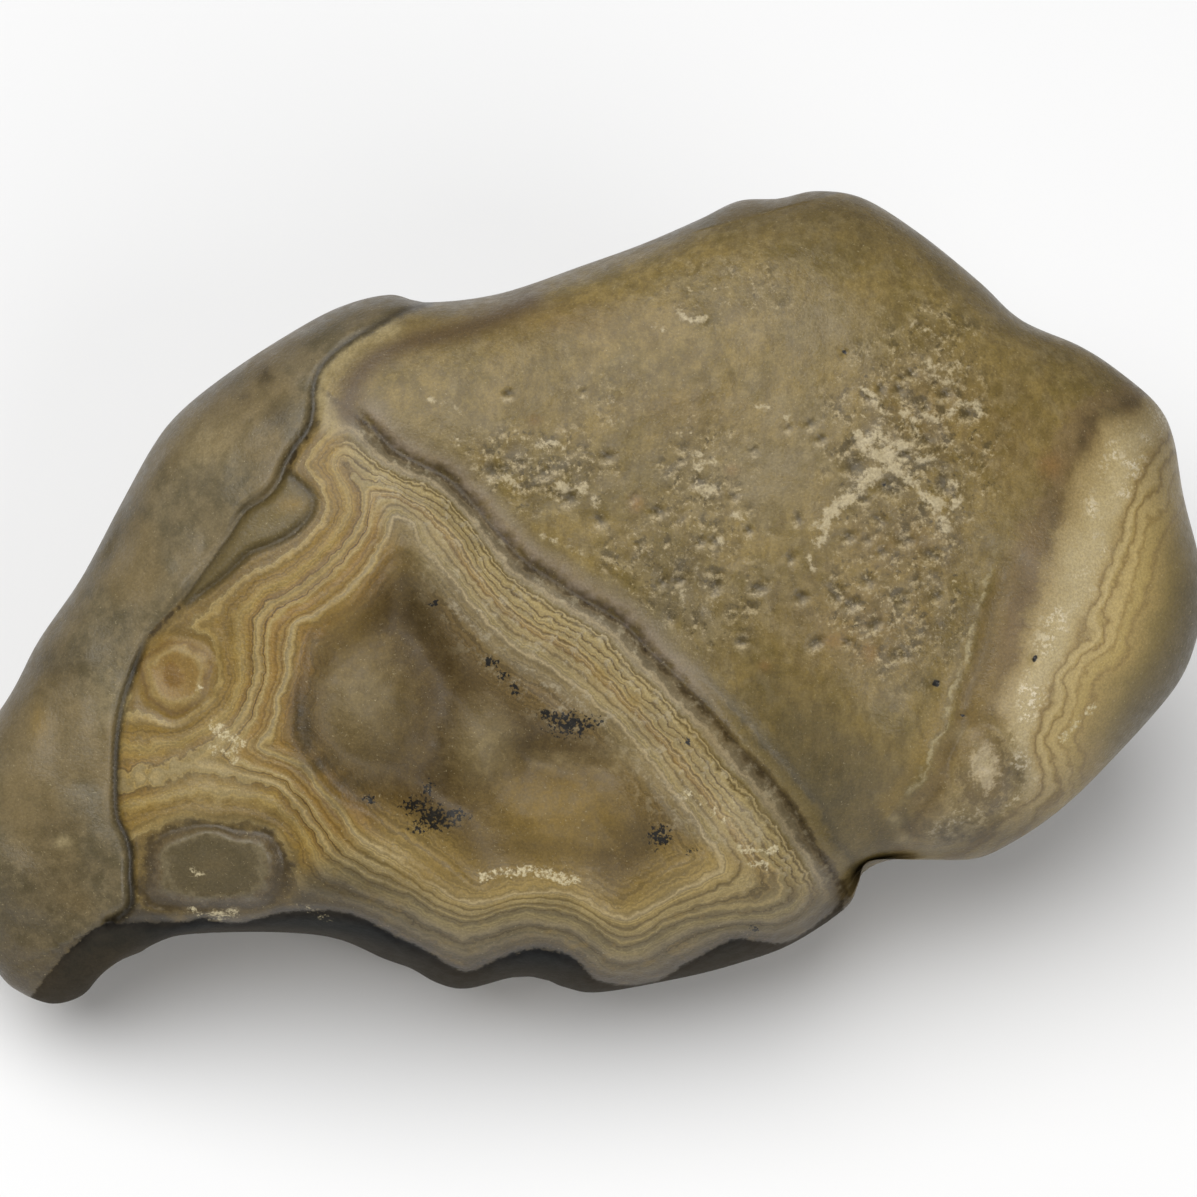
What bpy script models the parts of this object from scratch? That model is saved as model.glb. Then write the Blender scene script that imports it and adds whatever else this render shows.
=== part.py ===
"""Rough agate, one whole nodule about 102 mm long.

The stone is laid out face on first: x runs along it, v up its show face and w out of that face, all in mm from
the middle of the face. Then it is leant back and set down on the small flat that its underside is pressed to.
"""

import itertools
import math

import bmesh
import bpy
import numpy as np

# Driving sizes, in mm and degrees
SHOW_FACE_LEAN = 55.0  # the show face looks up by this much, off the level
FRONT_RISE = 13.0  # from the widest section out to the show face
BACK_DEPTH = 24.5  # from the widest section back to the rounded side
NARROWING = 1 / 380  # share by which each mm toward the show face narrows the stone
HALF_LENGTH = 50.5
WIDEST_ABOVE_FLAT = 25.2  # height of the layout's middle over the flat it rests on
SEAM_DEPTH_HIGH, SEAM_DEPTH_LOW = 0.9, 6.0  # the valley between the lobes, at its two ends
HOLLOW_DEPTH_LEFT, HOLLOW_DEPTH_RIGHT = 4.0, 3.0  # of its floor under the show face
SOFTNESS = 1.3  # of the way that the walls of the hollow run together, per mm
CRACK_DEPTH, CRACK_WIDTH = 0.7, 1.0  # beside the rind, wider here than the real crack so that the mesh holds it
LUMP_HEIGHT = 1.5  # of the rounded side's slow lumps
PIT_DEPTH = 0.4
LEAST_PIT = 0.6  # half width of the smallest pit that the mesh holds
EDGE_KEPT_PLAIN = 5.0  # no pit lies nearer the outline than this
MOST_TRIANGLES = 9400
FRONT_CROWDING = 0.4  # how far the even ball's points are pulled to the show side, in radii
FLAT_SLACK = 0.0001  # m, points this near the ground belong to the flat

# The widest section, clockwise from the blunt tail at the left
OUTLINE = [
    (-53.3, -18.1), (-51.5, -14.1), (-47.2, -7.9), (-44.8, -3.4), (-41.4, 1.6), (-38.4, 7.2), (-35.7, 12.1),
    (-33.6, 14.8), (-30.2, 17.6), (-25.7, 20.6), (-21.0, 23.2), (-16.8, 24.3), (-13.7, 23.7), (-7.9, 24.4),
    (-1.1, 26.7), (3.6, 28.4), (8.0, 30.3), (11.2, 31.8), (14.4, 32.0), (17.5, 32.6), (21.2, 32.0), (25.7, 29.2),
    (30.4, 25.4), (33.8, 22.3), (38.5, 20.2), (41.6, 18.2), (44.7, 15.5), (46.0, 12.8), (46.8, 8.2), (47.9, 3.9),
    (48.5, 0.7), (47.9, -3.1), (46.0, -7.3), (40.6, -13.4), (36.8, -17.0), (33.3, -19.4), (30.1, -20.8),
    (25.7, -20.9), (21.6, -21.0), (20.8, -22.8), (19.7, -24.8), (15.3, -27.7), (10.8, -29.3), (6.4, -30.4),
    (0.1, -31.5), (-2.7, -31.1), (-4.5, -30.4), (-6.8, -30.3), (-10.5, -31.2), (-12.8, -30.8), (-15.0, -29.6),
    (-17.2, -28.8), (-21.0, -27.2), (-25.7, -26.7), (-32.0, -26.8), (-35.2, -27.3), (-36.5, -28.2),
    (-39.3, -29.5), (-41.1, -31.6), (-43.2, -32.4), (-45.0, -32.1), (-46.9, -31.1), (-47.9, -30.1),
    (-50.7, -26.9), (-52.8, -22.9),
]

# The valley between the pitted lobe and the banded lobe, from its shallow end down to the notch
SEAM = [
    (-19.1, 14.5), (-16.3, 11.8), (-11.8, 9.3), (-9.3, 6.6), (-6.1, 3.1), (-2.4, 0.8), (1.9, -1.6), (5.2, -3.8),
    (8.4, -6.4), (11.4, -9.2), (14.0, -12.2), (16.8, -15.4), (19.0, -18.2), (20.9, -21.2), (22.0, -24.0),
]

# The rim of the hollow, clockwise from its top
HOLLOW = [
    (-16.0, 3.4), (-13.7, 1.2), (-11.5, -2.3), (-8.8, -5.1), (-6.4, -7.3), (-3.9, -9.6), (-1.5, -9.9), (1.1, -11.2),
    (2.6, -12.4), (3.2, -15.2), (5.8, -18.8), (7.3, -20.2), (4.8, -21.9), (2.9, -23.8), (0.7, -24.5), (-2.0, -22.2),
    (-6.8, -22.4), (-9.5, -22.8), (-12.1, -20.4), (-16.3, -17.5), (-20.4, -15.6), (-22.6, -13.1), (-24.0, -10.5),
    (-23.7, -6.4), (-22.6, -2.6), (-19.4, -0.7),
]

# Botryoidal lumps that fill the hollow: middle, half width, half height, rise
HOLLOW_LUMPS = [
    ((-18.8, -9.0), 5.2, 6.6, 3.0),
    ((-9.4, -11.4), 3.6, 5.2, 2.7),
    ((-3.0, -17.8), 7.4, 4.4, 2.9),
]

# The crack between the rind at the left and the rest of the show face, from the top edge down
RIND_EDGE = [
    (-13.5, 23.6), (-15.5, 23.0), (-17.5, 21.9), (-19.9, 20.5), (-21.8, 18.9), (-22.7, 17.1), (-22.8, 15.1),
    (-23.2, 13.5), (-24.5, 11.7), (-25.2, 10.3), (-25.7, 9.1), (-26.6, 8.1), (-28.2, 7.1), (-29.3, 5.5),
    (-30.6, 3.6), (-31.9, 1.8), (-33.1, 0.2), (-34.7, -1.4), (-35.9, -2.7), (-36.4, -3.9), (-37.1, -5.6),
    (-37.9, -8.0), (-38.4, -10.5), (-38.6, -13.7), (-38.5, -17.3), (-37.8, -18.9), (-37.4, -20.5), (-37.4, -22.5),
    (-37.3, -24.1), (-37.8, -25.1), (-39.2, -25.9),
]

# The olive button that swells out between the rind and the bands, clockwise from its top
BUTTON = [
    (-25.2, 10.0), (-23.9, 9.2), (-22.9, 8.1), (-23.1, 6.7), (-24.2, 5.5), (-25.9, 4.5), (-27.8, 3.8), (-28.8, 2.9),
    (-30.1, 1.7), (-31.5, 0.7), (-33.0, -0.2), (-31.9, 1.8), (-30.6, 3.6), (-29.3, 5.5), (-28.2, 7.1), (-26.6, 8.1),
    (-25.7, 9.1),
]

# The whitish crest between the pitted skin and the shoulder at the right, from its top down
CREST_LINE = [
    (32.3, 5.1), (31.7, 3.1), (30.9, 0.7), (30.4, -0.9), (29.9, -3.3), (29.3, -5.3), (28.5, -7.3), (28.0, -9.3),
    (27.3, -11.3), (26.5, -12.9), (25.9, -14.5), (24.8, -15.6), (24.0, -16.6),
]

# Round eyes of agate grown on the wall: middle, half width, half height, rise
LEFT_EYE = ((-34.0, -6.2), 2.4, 2.3, 0.3)
LOW_EYE = ((-30.9, -21.6), 4.9, 3.0, 0.5)
RIGHT_EYE = ((30.9, -13.7), 2.2, 3.0, 0.4)

# The larger solution pits in the skin: middle, half width, half height
PITS = [
    ((20.5, 10.8), 1.04, 0.72), ((23.5, 9.2), 1.36, 1.04), ((24.4, 11.7), 0.56, 0.40),
    ((27.6, 9.0), 0.88, 0.64), ((24.2, 16.3), 0.48, 0.48), ((22.8, 16.6), 0.32, 0.64),
    ((26.0, 15.2), 0.32, 0.64), ((20.5, 12.4), 0.40, 0.40), ((18.0, 13.0), 0.32, 0.40),
    ((17.0, 14.4), 0.40, 0.48), ((15.2, 14.0), 0.32, 0.32), ((12.8, 12.0), 0.32, 0.40),
    ((6.4, 11.2), 0.32, 0.32), ((25.1, 18.0), 0.40, 0.64), ((24.5, 17.5), 0.32, 0.40),
    ((21.6, 16.0), 0.40, 0.32), ((27.3, 16.3), 0.64, 0.40), ((29.3, 14.9), 0.56, 0.48),
    ((26.1, 12.3), 0.48, 0.40), ((21.7, 7.9), 0.48, 0.40), ((22.5, 6.3), 0.40, 0.40), ((24.5, 4.7), 0.96, 0.48),
    ((26.5, 3.7), 0.72, 0.40), ((22.7, 3.7), 0.48, 0.40), ((20.1, 5.1), 0.40, 0.48), ((21.1, 4.7), 0.32, 0.40),
    ((12.1, 5.5), 0.40, 0.40), ((9.4, 4.8), 0.40, 0.40), ((8.1, 4.7), 0.48, 0.40), ((5.3, 1.3), 0.40, 0.56),
    ((6.5, 1.5), 0.48, 0.48), ((9.3, 1.1), 0.64, 0.72), ((5.7, -1.7), 0.48, 0.64), ((10.9, 7.9), 0.40, 0.32),
    ((7.7, 9.1), 0.48, 0.48), ((4.5, 7.1), 0.64, 0.56), ((-7.5, 16.7), 0.48, 0.40), ((-1.1, 16.7), 0.40, 0.32),
    ((-4.7, 9.9), 0.72, 0.56), ((-2.3, 8.3), 0.64, 0.40), ((-8.3, 10.4), 0.64, 0.72), ((0.9, 11.5), 0.48, 0.40),
    ((0.1, 6.3), 0.48, 0.32), ((2.8, 7.9), 0.24, 0.48), ((16.1, 6.3), 0.40, 0.56), ((15.3, 3.1), 0.48, 0.48),
    ((18.9, 0.7), 0.72, 0.64), ((20.1, -0.1), 0.80, 0.64), ((21.7, 1.5), 0.64, 0.48),
    ((16.1, -0.1), 0.64, 0.56), ((12.9, 0.7), 0.56, 0.48), ((24.5, -0.1), 0.56, 0.56),
    ((22.5, -1.7), 0.64, 0.48), ((19.7, -3.3), 0.56, 0.40), ((17.3, -3.3), 0.64, 0.48),
    ((11.3, -3.3), 0.56, 0.48), ((24.1, -4.1), 0.48, 0.40), ((27.3, -0.1), 0.40, 0.48),
]

STONE_COLOR = (0.21, 0.155, 0.075)  # linear
STONE_ROUGHNESS = 0.38


def smooth_line(points, closed=False, steps=6):
    """Catmull-Rom curve through the points, as an array of points along it."""
    count = len(points)
    line = np.array(points, float)
    found = []
    for i in range(count if closed else count - 1):
        if closed:
            a, b, c, d = (line[(i + k) % count] for k in (-1, 0, 1, 2))
        else:
            a, b, c, d = (line[min(max(i + k, 0), count - 1)] for k in (-1, 0, 1, 2))
        for t in np.arange(steps) / steps:
            found.append(
                b + 0.5 * t * (c - a + t * (2 * a - 5 * b + 4 * c - d + t * (3 * (b - c) + d - a)))
            )
    if not closed:
        found.append(line[-1])
    return np.array(found)


def line_distance(flat, line, closed=False):
    """For each point: distance to the line, share of the line's length there, and which side it is on."""
    starts = line if closed else line[:-1]
    ends = np.roll(line, -1, axis=0) if closed else line[1:]
    steps = np.linalg.norm(ends - starts, axis=1)
    before = np.concatenate([[0], np.cumsum(steps)[:-1]])
    nearest = np.full(len(flat), np.inf)
    share = np.zeros(len(flat))
    side = np.ones(len(flat))
    for a, b, step, past in zip(starts, ends, steps, before):
        along = np.clip((flat - a) @ (b - a) / step**2, 0, 1)
        off = flat - a - along[:, None] * (b - a)
        gap = np.hypot(off[:, 0], off[:, 1])
        closer = gap < nearest
        cross = (b - a)[0] * (flat - a)[:, 1] - (b - a)[1] * (flat - a)[:, 0]
        nearest = np.where(closer, gap, nearest)
        share = np.where(closer, (past + along * step) / steps.sum(), share)
        side = np.where(closer, np.where(cross > 0, 1.0, -1.0), side)
    return nearest, share, side


def inside(flat, ring):
    """True for the points that the closed ring surrounds."""
    found = np.zeros(len(flat), bool)
    for a, b in zip(ring, np.roll(ring, -1, axis=0)):
        spans = (a[1] > flat[:, 1]) != (b[1] > flat[:, 1])
        reach = (b[0] - a[0]) * (flat[:, 1] - a[1]) / (b[1] - a[1] + 1e-12) + a[0]
        found ^= spans & (flat[:, 0] < reach)
    return found


def ramp(value, low, high):
    """0 below low, 1 above high and a soft step between."""
    t = np.clip((value - low) / (high - low), 0, 1)
    return t * t * (3 - 2 * t)


def lumps(points, size, seed):
    """Smooth noise between -1 and 1 whose lumps are about as wide as size."""
    grid = points / size
    cell = np.floor(grid).astype(np.int64)
    share = grid - cell
    share = share**3 * (share * (share * 6 - 15) + 10)
    total = np.zeros(len(points))
    for corner in itertools.product((0, 1), repeat=3):
        key = (cell + corner) @ np.array([73856093, 19349663, 83492791]) + seed * 6971
        key = ((key ^ (key >> 13)) * 1274126177) & 0xFFFFFFFF
        key = ((key ^ (key >> 15)) * 668265263) & 0xFFFFFFFF
        value = (key >> 8) / float(1 << 23) - 1
        total += value * np.prod(np.where(corner, share, 1 - share), axis=1)
    return total


def section(around, out):
    """Spreads a disc smoothly over the widest section: around is the angle, out the share of the radius."""
    edge = smooth_line(OUTLINE, closed=True, steps=16)
    ring = np.concatenate([edge, edge[:1]])
    length = np.concatenate([[0], np.cumsum(np.linalg.norm(np.diff(ring, axis=0), axis=1))])
    even = np.linspace(0, length[-1], 2048, endpoint=False)
    rim = np.interp(even, length, ring[:, 0]) + 1j * np.interp(even, length, ring[:, 1])
    # The outline runs clockwise, so it is turned round to run with the angle.
    waves = np.fft.fft(rim[::-1]) / len(rim)
    place = np.full(len(around), waves[0])
    for k in range(1, 180):
        fade = out**k
        place = place + fade * (waves[k] * np.exp(1j * k * around) + waves[-k] * np.exp(-1j * k * around))
    return np.stack([place.real, place.imag], axis=1)


def body(directions):
    """The stone's smooth mass: places in x, v and w, and how far each looks out of the show face."""
    forward = directions[:, 2]
    out = np.hypot(directions[:, 0], directions[:, 1])
    flat = section(np.arctan2(directions[:, 1], directions[:, 0]), out)
    thin_tail = 1 - 0.34 * ramp(-flat[:, 0], 18, 52)
    thin_right = 1 - 0.16 * ramp(flat[:, 0], 22, 48)
    front = FRONT_RISE * np.sqrt(np.clip(1 - out**4, 0, 1)) * thin_tail * thin_right
    back = BACK_DEPTH * np.clip(1 - out**2.3, 0, 1) ** 0.52 * (1 - 0.2 * ramp(-flat[:, 0], 14, 52))
    w = np.where(forward > 0, front, -back)
    return flat, w, np.clip(forward, -1, 1)


def ring_depth(flat, points):
    """How far inside the smooth closed ring each point is, in mm, less than 0 outside it."""
    ring = smooth_line(points, closed=True)
    gap, _, _ = line_distance(flat, ring, closed=True)
    return np.where(inside(flat, ring), gap, -gap)


def soft_depth(flat, points):
    """How far inside the ring each point is, as ring_depth says it, but smooth where the walls are equally near."""
    ring = smooth_line(points, closed=True)
    share = np.zeros(len(flat))
    for a, b in zip(ring, np.roll(ring, -1, axis=0)):
        reach = np.hypot(*(flat - (a + b) / 2).T)
        share += np.exp(-SOFTNESS * reach) * np.hypot(*(b - a))
    within = (math.log(2 / SOFTNESS) - np.log(share + 1e-30)) / SOFTNESS
    return np.where(inside(flat, ring), np.maximum(within, 0), ring_depth(flat, points))


def oval(flat, middle, half_width, half_height, power=2.0):
    """0 in the oval's middle, 1 on its edge and more outside it. A higher power makes it squarer."""
    across = np.abs((flat - middle) / (half_width, half_height))
    return (across**power).sum(axis=1) ** (1 / power)


def hollow_relief(flat):
    """The hollow's floor and the lumps that rise from it."""
    into = soft_depth(flat, HOLLOW)
    steep = ramp(-flat[:, 0], 2, 20)
    depth = HOLLOW_DEPTH_RIGHT + (HOLLOW_DEPTH_LEFT - HOLLOW_DEPTH_RIGHT) * steep
    filling = np.zeros(len(flat))
    for middle, half_width, half_height, rise in HOLLOW_LUMPS:
        filling += (rise * np.exp(-1.2 * oval(flat, middle, half_width, half_height) ** 2)) ** 4
    return filling**0.25 * ramp(into, -0.4, 2.6) - depth * ramp(into, -0.8, 3.4 - 0.8 * steep)


def eye_relief(flat):
    """The low round eyes: a worn ring, a flat-topped button and a rough one."""
    middle, half_width, half_height, rise = LEFT_EYE
    off = oval(flat, middle, half_width, half_height)
    relief = rise * (1 - ramp(off, 0.5, 1.1)) - 0.8 * rise * np.exp(-(((off - 1.35) / 0.25) ** 2))
    middle, half_width, half_height, rise = LOW_EYE
    off = oval(flat, middle, half_width, half_height, 2.8)
    relief += rise * (1 - ramp(off, 0.8, 1.15)) - 0.5 * rise * np.exp(-(((off - 1.2) / 0.14) ** 2))
    middle, half_width, half_height, rise = RIGHT_EYE
    off = oval(flat, middle, half_width, half_height)
    return relief + rise * (1 - ramp(off, 0.5, 1.1)) - 0.6 * rise * np.exp(-(((off - 1.2) / 0.25) ** 2))


def show_face_relief(flat):
    """How far the show face stands out of, or sinks into, the smooth mass."""
    gap, share, side = line_distance(flat, smooth_line(SEAM))
    depth = SEAM_DEPTH_HIGH + (SEAM_DEPTH_LOW - SEAM_DEPTH_HIGH) * ramp(share, 0.45, 1.0)
    spread = np.where(side > 0, 2.4 + 3.2 * share, 1.6 + 1.6 * share)
    relief = -depth * np.exp(-((gap / spread) ** 2)) * ramp(share, -0.02, 0.08)
    relief += hollow_relief(flat) + eye_relief(flat)

    gap, share, _ = line_distance(flat, smooth_line(RIND_EDGE))
    relief -= CRACK_DEPTH * np.exp(-((gap / CRACK_WIDTH) ** 2)) * ramp(share, 0.02, 0.12)
    relief += 0.4 * ramp(ring_depth(flat, BUTTON), 0.0, 1.6)

    gap, share, _ = line_distance(flat, smooth_line(CREST_LINE))
    relief -= ramp(share, 0.0, 0.15) * 0.8 * np.exp(-((gap / 3.2) ** 2))

    _, _, side = line_distance(flat, smooth_line(SEAM))
    plain = line_distance(flat, smooth_line(OUTLINE, closed=True), closed=True)[0]
    pits = np.zeros(len(flat))
    for middle, half_width, half_height in PITS:
        if half_width >= LEAST_PIT:
            pits = np.maximum(pits, 1 - ramp(oval(flat, middle, half_width, half_height), 0.1, 1.8))
    return relief - PIT_DEPTH * pits * (side > 0) * ramp(plain, EDGE_KEPT_PLAIN - 1, EDGE_KEPT_PLAIN)


def lean_back(flat, w):
    """Turns the face-on layout into places in the world, in metres: the face leans back and the flat is at z 0."""
    lean = math.radians(SHOW_FACE_LEAN)
    spread = (1 - w * NARROWING)[:, None]
    x, v = (flat * spread).T
    y = v * math.sin(lean) - w * math.cos(lean)
    z = v * math.cos(lean) + w * math.sin(lean) + WIDEST_ABOVE_FLAT
    return np.stack([x, y, z], axis=1) / 1000


def stone_shape(directions):
    flat, w, forward = body(directions)
    solid = np.column_stack([flat, w])
    facing = ramp(forward, 0.02, 0.30)
    slow = 0.8 * lumps(solid, 23.0, 1) + 0.35 * lumps(solid, 9.0, 2)
    w = w + facing * (show_face_relief(flat) + slow)
    # The rounded side swells and dips in and out, more strongly than the show face does.
    behind = ramp(-forward, 0.05, 0.5)
    swell = LUMP_HEIGHT * (lumps(solid, 19.0, 3) + 0.45 * lumps(solid, 8.0, 4))
    w = w - behind * swell
    flat = flat * (1 + behind * swell / HALF_LENGTH)[:, None]
    spots = lean_back(flat, w)
    # What would lie below the ground is pressed up into the flat that the stone rests on.
    spots[:, 2] = np.maximum(spots[:, 2], 0)
    return spots


def new_object(name, mesh):
    made = bpy.data.objects.new(name, mesh)
    bpy.context.scene.collection.objects.link(made)
    return made


def decimated(mesh, triangles):
    """A copy of the mesh with about that many triangles, kept where the shape bends most."""
    source = new_object("dense_stone", mesh)
    cut_down = source.modifiers.new("Decimate", "DECIMATE")
    cut_down.ratio = triangles / len(mesh.polygons)
    bpy.context.view_layer.update()
    graph = bpy.context.evaluated_depsgraph_get()
    light = bpy.data.meshes.new_from_object(source.evaluated_get(graph))
    bpy.data.objects.remove(source)
    return light


def settle(mesh):
    """Levels the resting flat exactly at z 0, and moves the middle of the stone's box over the origin."""
    spots = np.empty(len(mesh.vertices) * 3)
    mesh.vertices.foreach_get("co", spots)
    spots = spots.reshape(-1, 3)
    spots[spots[:, 2] < FLAT_SLACK, 2] = 0.0
    middle = (spots.min(axis=0) + spots.max(axis=0)) / 2
    spots[:, :2] -= middle[:2]
    mesh.vertices.foreach_set("co", np.round(spots, 6).ravel())
    mesh.update()


def stone_material():
    stone = bpy.data.materials.new("agate_stone")
    stone.use_nodes = True
    surface = stone.node_tree.nodes["Principled BSDF"]
    surface.inputs["Base Color"].default_value = (*STONE_COLOR, 1.0)
    surface.inputs["Roughness"].default_value = STONE_ROUGHNESS
    surface.inputs["Metallic"].default_value = 0.0
    stone.diffuse_color = (*STONE_COLOR, 1.0)
    return stone


def make_agate():
    form = bmesh.new()
    bmesh.ops.create_icosphere(form, subdivisions=7, radius=1.0)
    # Pulling the even sphere forward gives more of its points to the show face, which has the fine forms.
    directions = np.array([vert.co[:] for vert in form.verts]) + (0, 0, FRONT_CROWDING)
    directions /= np.linalg.norm(directions, axis=1)[:, None]
    # Rounding to a thousandth of a mm keeps the thinning below the same on every computer.
    for vert, spot in zip(form.verts, np.round(stone_shape(directions), 6)):
        vert.co = spot
    dense = bpy.data.meshes.new("dense_stone")
    form.to_mesh(dense)
    form.free()
    mesh = decimated(dense, MOST_TRIANGLES)
    mesh.name = "agate"
    settle(mesh)
    mesh.shade_smooth()
    mesh.materials.clear()
    mesh.materials.append(stone_material())
    return new_object("agate", mesh)


def main():
    for old in list(bpy.data.objects):
        bpy.data.objects.remove(old, do_unlink=True)
    make_agate()


if __name__ == "__main__":
    main()
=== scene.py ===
import itertools
import math

import bmesh
import bpy
import numpy as np
from bpy.props import FloatProperty, FloatVectorProperty, PointerProperty
from mathutils import Matrix, Vector


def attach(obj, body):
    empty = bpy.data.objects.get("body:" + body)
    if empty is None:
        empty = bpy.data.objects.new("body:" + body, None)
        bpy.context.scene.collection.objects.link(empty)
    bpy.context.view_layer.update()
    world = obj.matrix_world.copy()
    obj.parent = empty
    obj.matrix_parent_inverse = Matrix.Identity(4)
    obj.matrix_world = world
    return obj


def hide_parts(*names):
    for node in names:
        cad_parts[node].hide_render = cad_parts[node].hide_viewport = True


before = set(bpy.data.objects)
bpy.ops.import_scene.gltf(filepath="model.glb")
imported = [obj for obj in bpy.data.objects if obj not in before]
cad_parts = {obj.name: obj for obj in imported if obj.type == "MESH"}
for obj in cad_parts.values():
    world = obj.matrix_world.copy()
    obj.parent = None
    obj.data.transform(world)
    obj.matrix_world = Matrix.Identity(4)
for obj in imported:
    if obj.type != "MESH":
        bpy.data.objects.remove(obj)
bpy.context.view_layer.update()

bl_info = {
    "name": "Rough agate",
    "version": (1, 0, 0),
    "blender": (4, 5, 0),
    "location": "3D View > Sidebar > Agate",
    "description": "Makes a rough banded agate nodule with its skin, bands, hollow and rind, and a plain stage",
    "category": "Object",
}

# The stone is laid out face on: x runs along it, v up its show face and w out of that face, all in mm from the
# middle of the face. Then it is leant back and set down where the solid stands.
LEAN = 55.0
FRONT_RISE = 13.0
BACK_DEPTH = 24.5
NARROWING = 1 / 380
HALF_LENGTH = 50.5
WIDEST_ABOVE_FLAT = 25.2
SEAM_DEPTH_HIGH, SEAM_DEPTH_LOW = 0.9, 6.0
HOLLOW_DEPTH_LEFT, HOLLOW_DEPTH_RIGHT = 4.0, 3.0
LUMP_HEIGHT = 1.5
SOFTNESS = 1.3  # of the way that the walls of the hollow run together, per mm
LONGEST_EDGE = 0.45  # of the net on the show side
FRAME_WIDTH = 95.76  # mm that the camera sees across, at the layout's middle

# The widest section, clockwise from the blunt tail at the left
OUTLINE = [
    (-53.3, -18.1), (-51.5, -14.1), (-47.2, -7.9), (-44.8, -3.4), (-41.4, 1.6), (-38.4, 7.2), (-35.7, 12.1),
    (-33.6, 14.8), (-30.2, 17.6), (-25.7, 20.6), (-21.0, 23.2), (-16.8, 24.3), (-13.7, 23.7), (-7.9, 24.4),
    (-1.1, 26.7), (3.6, 28.4), (8.0, 30.3), (11.2, 31.8), (14.4, 32.0), (17.5, 32.6), (21.2, 32.0), (25.7, 29.2),
    (30.4, 25.4), (33.8, 22.3), (38.5, 20.2), (41.6, 18.2), (44.7, 15.5), (46.0, 12.8), (46.8, 8.2), (47.9, 3.9),
    (48.5, 0.7), (47.9, -3.1), (46.0, -7.3), (40.6, -13.4), (36.8, -17.0), (33.3, -19.4), (30.1, -20.8),
    (25.7, -20.9), (21.6, -21.0), (20.8, -22.8), (19.7, -24.8), (15.3, -27.7), (10.8, -29.3), (6.4, -30.4),
    (0.1, -31.5), (-2.7, -31.1), (-4.5, -30.4), (-6.8, -30.3), (-10.5, -31.2), (-12.8, -30.8), (-15.0, -29.6),
    (-17.2, -28.8), (-21.0, -27.2), (-25.7, -26.7), (-32.0, -26.8), (-35.2, -27.3), (-36.5, -28.2),
    (-39.3, -29.5), (-41.1, -31.6), (-43.2, -32.4), (-45.0, -32.1), (-46.9, -31.1), (-47.9, -30.1),
    (-50.7, -26.9), (-52.8, -22.9),
]

# The valley between the pitted lobe and the banded lobe, from its shallow end down to the notch
SEAM = [
    (-19.1, 14.5), (-16.3, 11.8), (-11.8, 9.3), (-9.3, 6.6), (-6.1, 3.1), (-2.4, 0.8), (1.9, -1.6), (5.2, -3.8),
    (8.4, -6.4), (11.4, -9.2), (14.0, -12.2), (16.8, -15.4), (19.0, -18.2), (20.9, -21.2), (22.0, -24.0),
]

# Where the banded face meets the seam's dark line
BAND_EDGE = [
    (-22.3, 17.0), (-19.1, 14.5), (-16.3, 11.8), (-13.7, 10.4), (-11.8, 9.3), (-9.3, 6.6), (-6.1, 3.1), (-2.4, 0.6),
    (1.7, -1.9), (4.2, -4.5), (8.4, -8.6), (11.8, -12.4), (15.3, -16.2), (16.8, -18.8), (18.1, -20.9), (19.7, -23.3),
]

# The rim of the hollow, clockwise from its top
HOLLOW = [
    (-16.0, 3.4), (-13.7, 1.2), (-11.5, -2.3), (-8.8, -5.1), (-6.4, -7.3), (-3.9, -9.6), (-1.5, -9.9), (1.1, -11.2),
    (2.6, -12.4), (3.2, -15.2), (5.8, -18.8), (7.3, -20.2), (4.8, -21.9), (2.9, -23.8), (0.7, -24.5), (-2.0, -22.2),
    (-6.8, -22.4), (-9.5, -22.8), (-12.1, -20.4), (-16.3, -17.5), (-20.4, -15.6), (-22.6, -13.1), (-24.0, -10.5),
    (-23.7, -6.4), (-22.6, -2.6), (-19.4, -0.7),
]

# Botryoidal lumps that fill the hollow: middle, half width, half height, rise
HOLLOW_LUMPS = [
    ((-18.8, -9.0), 5.2, 6.6, 3.0),
    ((-9.4, -11.4), 3.6, 5.2, 2.7),
    ((-3.0, -17.8), 7.4, 4.4, 2.9),
]

# The crack between the rind at the left and the rest of the show face, from the top edge down
RIND_EDGE = [
    (-13.5, 23.6), (-15.5, 23.0), (-17.5, 21.9), (-19.9, 20.5), (-21.8, 18.9), (-22.7, 17.1), (-22.8, 15.1),
    (-23.2, 13.5), (-24.5, 11.7), (-25.2, 10.3), (-25.7, 9.1), (-26.6, 8.1), (-28.2, 7.1), (-29.3, 5.5),
    (-30.6, 3.6), (-31.9, 1.8), (-33.1, 0.2), (-34.7, -1.4), (-35.9, -2.7), (-36.4, -3.9), (-37.1, -5.6),
    (-37.9, -8.0), (-38.4, -10.5), (-38.6, -13.7), (-38.5, -17.3), (-37.8, -18.9), (-37.4, -20.5), (-37.4, -22.5),
    (-37.3, -24.1), (-37.8, -25.1), (-39.2, -25.9),
]

# The olive button that swells out between the rind and the bands, clockwise from its top
BUTTON = [
    (-25.2, 10.0), (-23.9, 9.2), (-22.9, 8.1), (-23.1, 6.7), (-24.2, 5.5), (-25.9, 4.5), (-27.8, 3.8), (-28.8, 2.9),
    (-30.1, 1.7), (-31.5, 0.7), (-33.0, -0.2), (-31.9, 1.8), (-30.6, 3.6), (-29.3, 5.5), (-28.2, 7.1), (-26.6, 8.1),
    (-25.7, 9.1),
]

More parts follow.
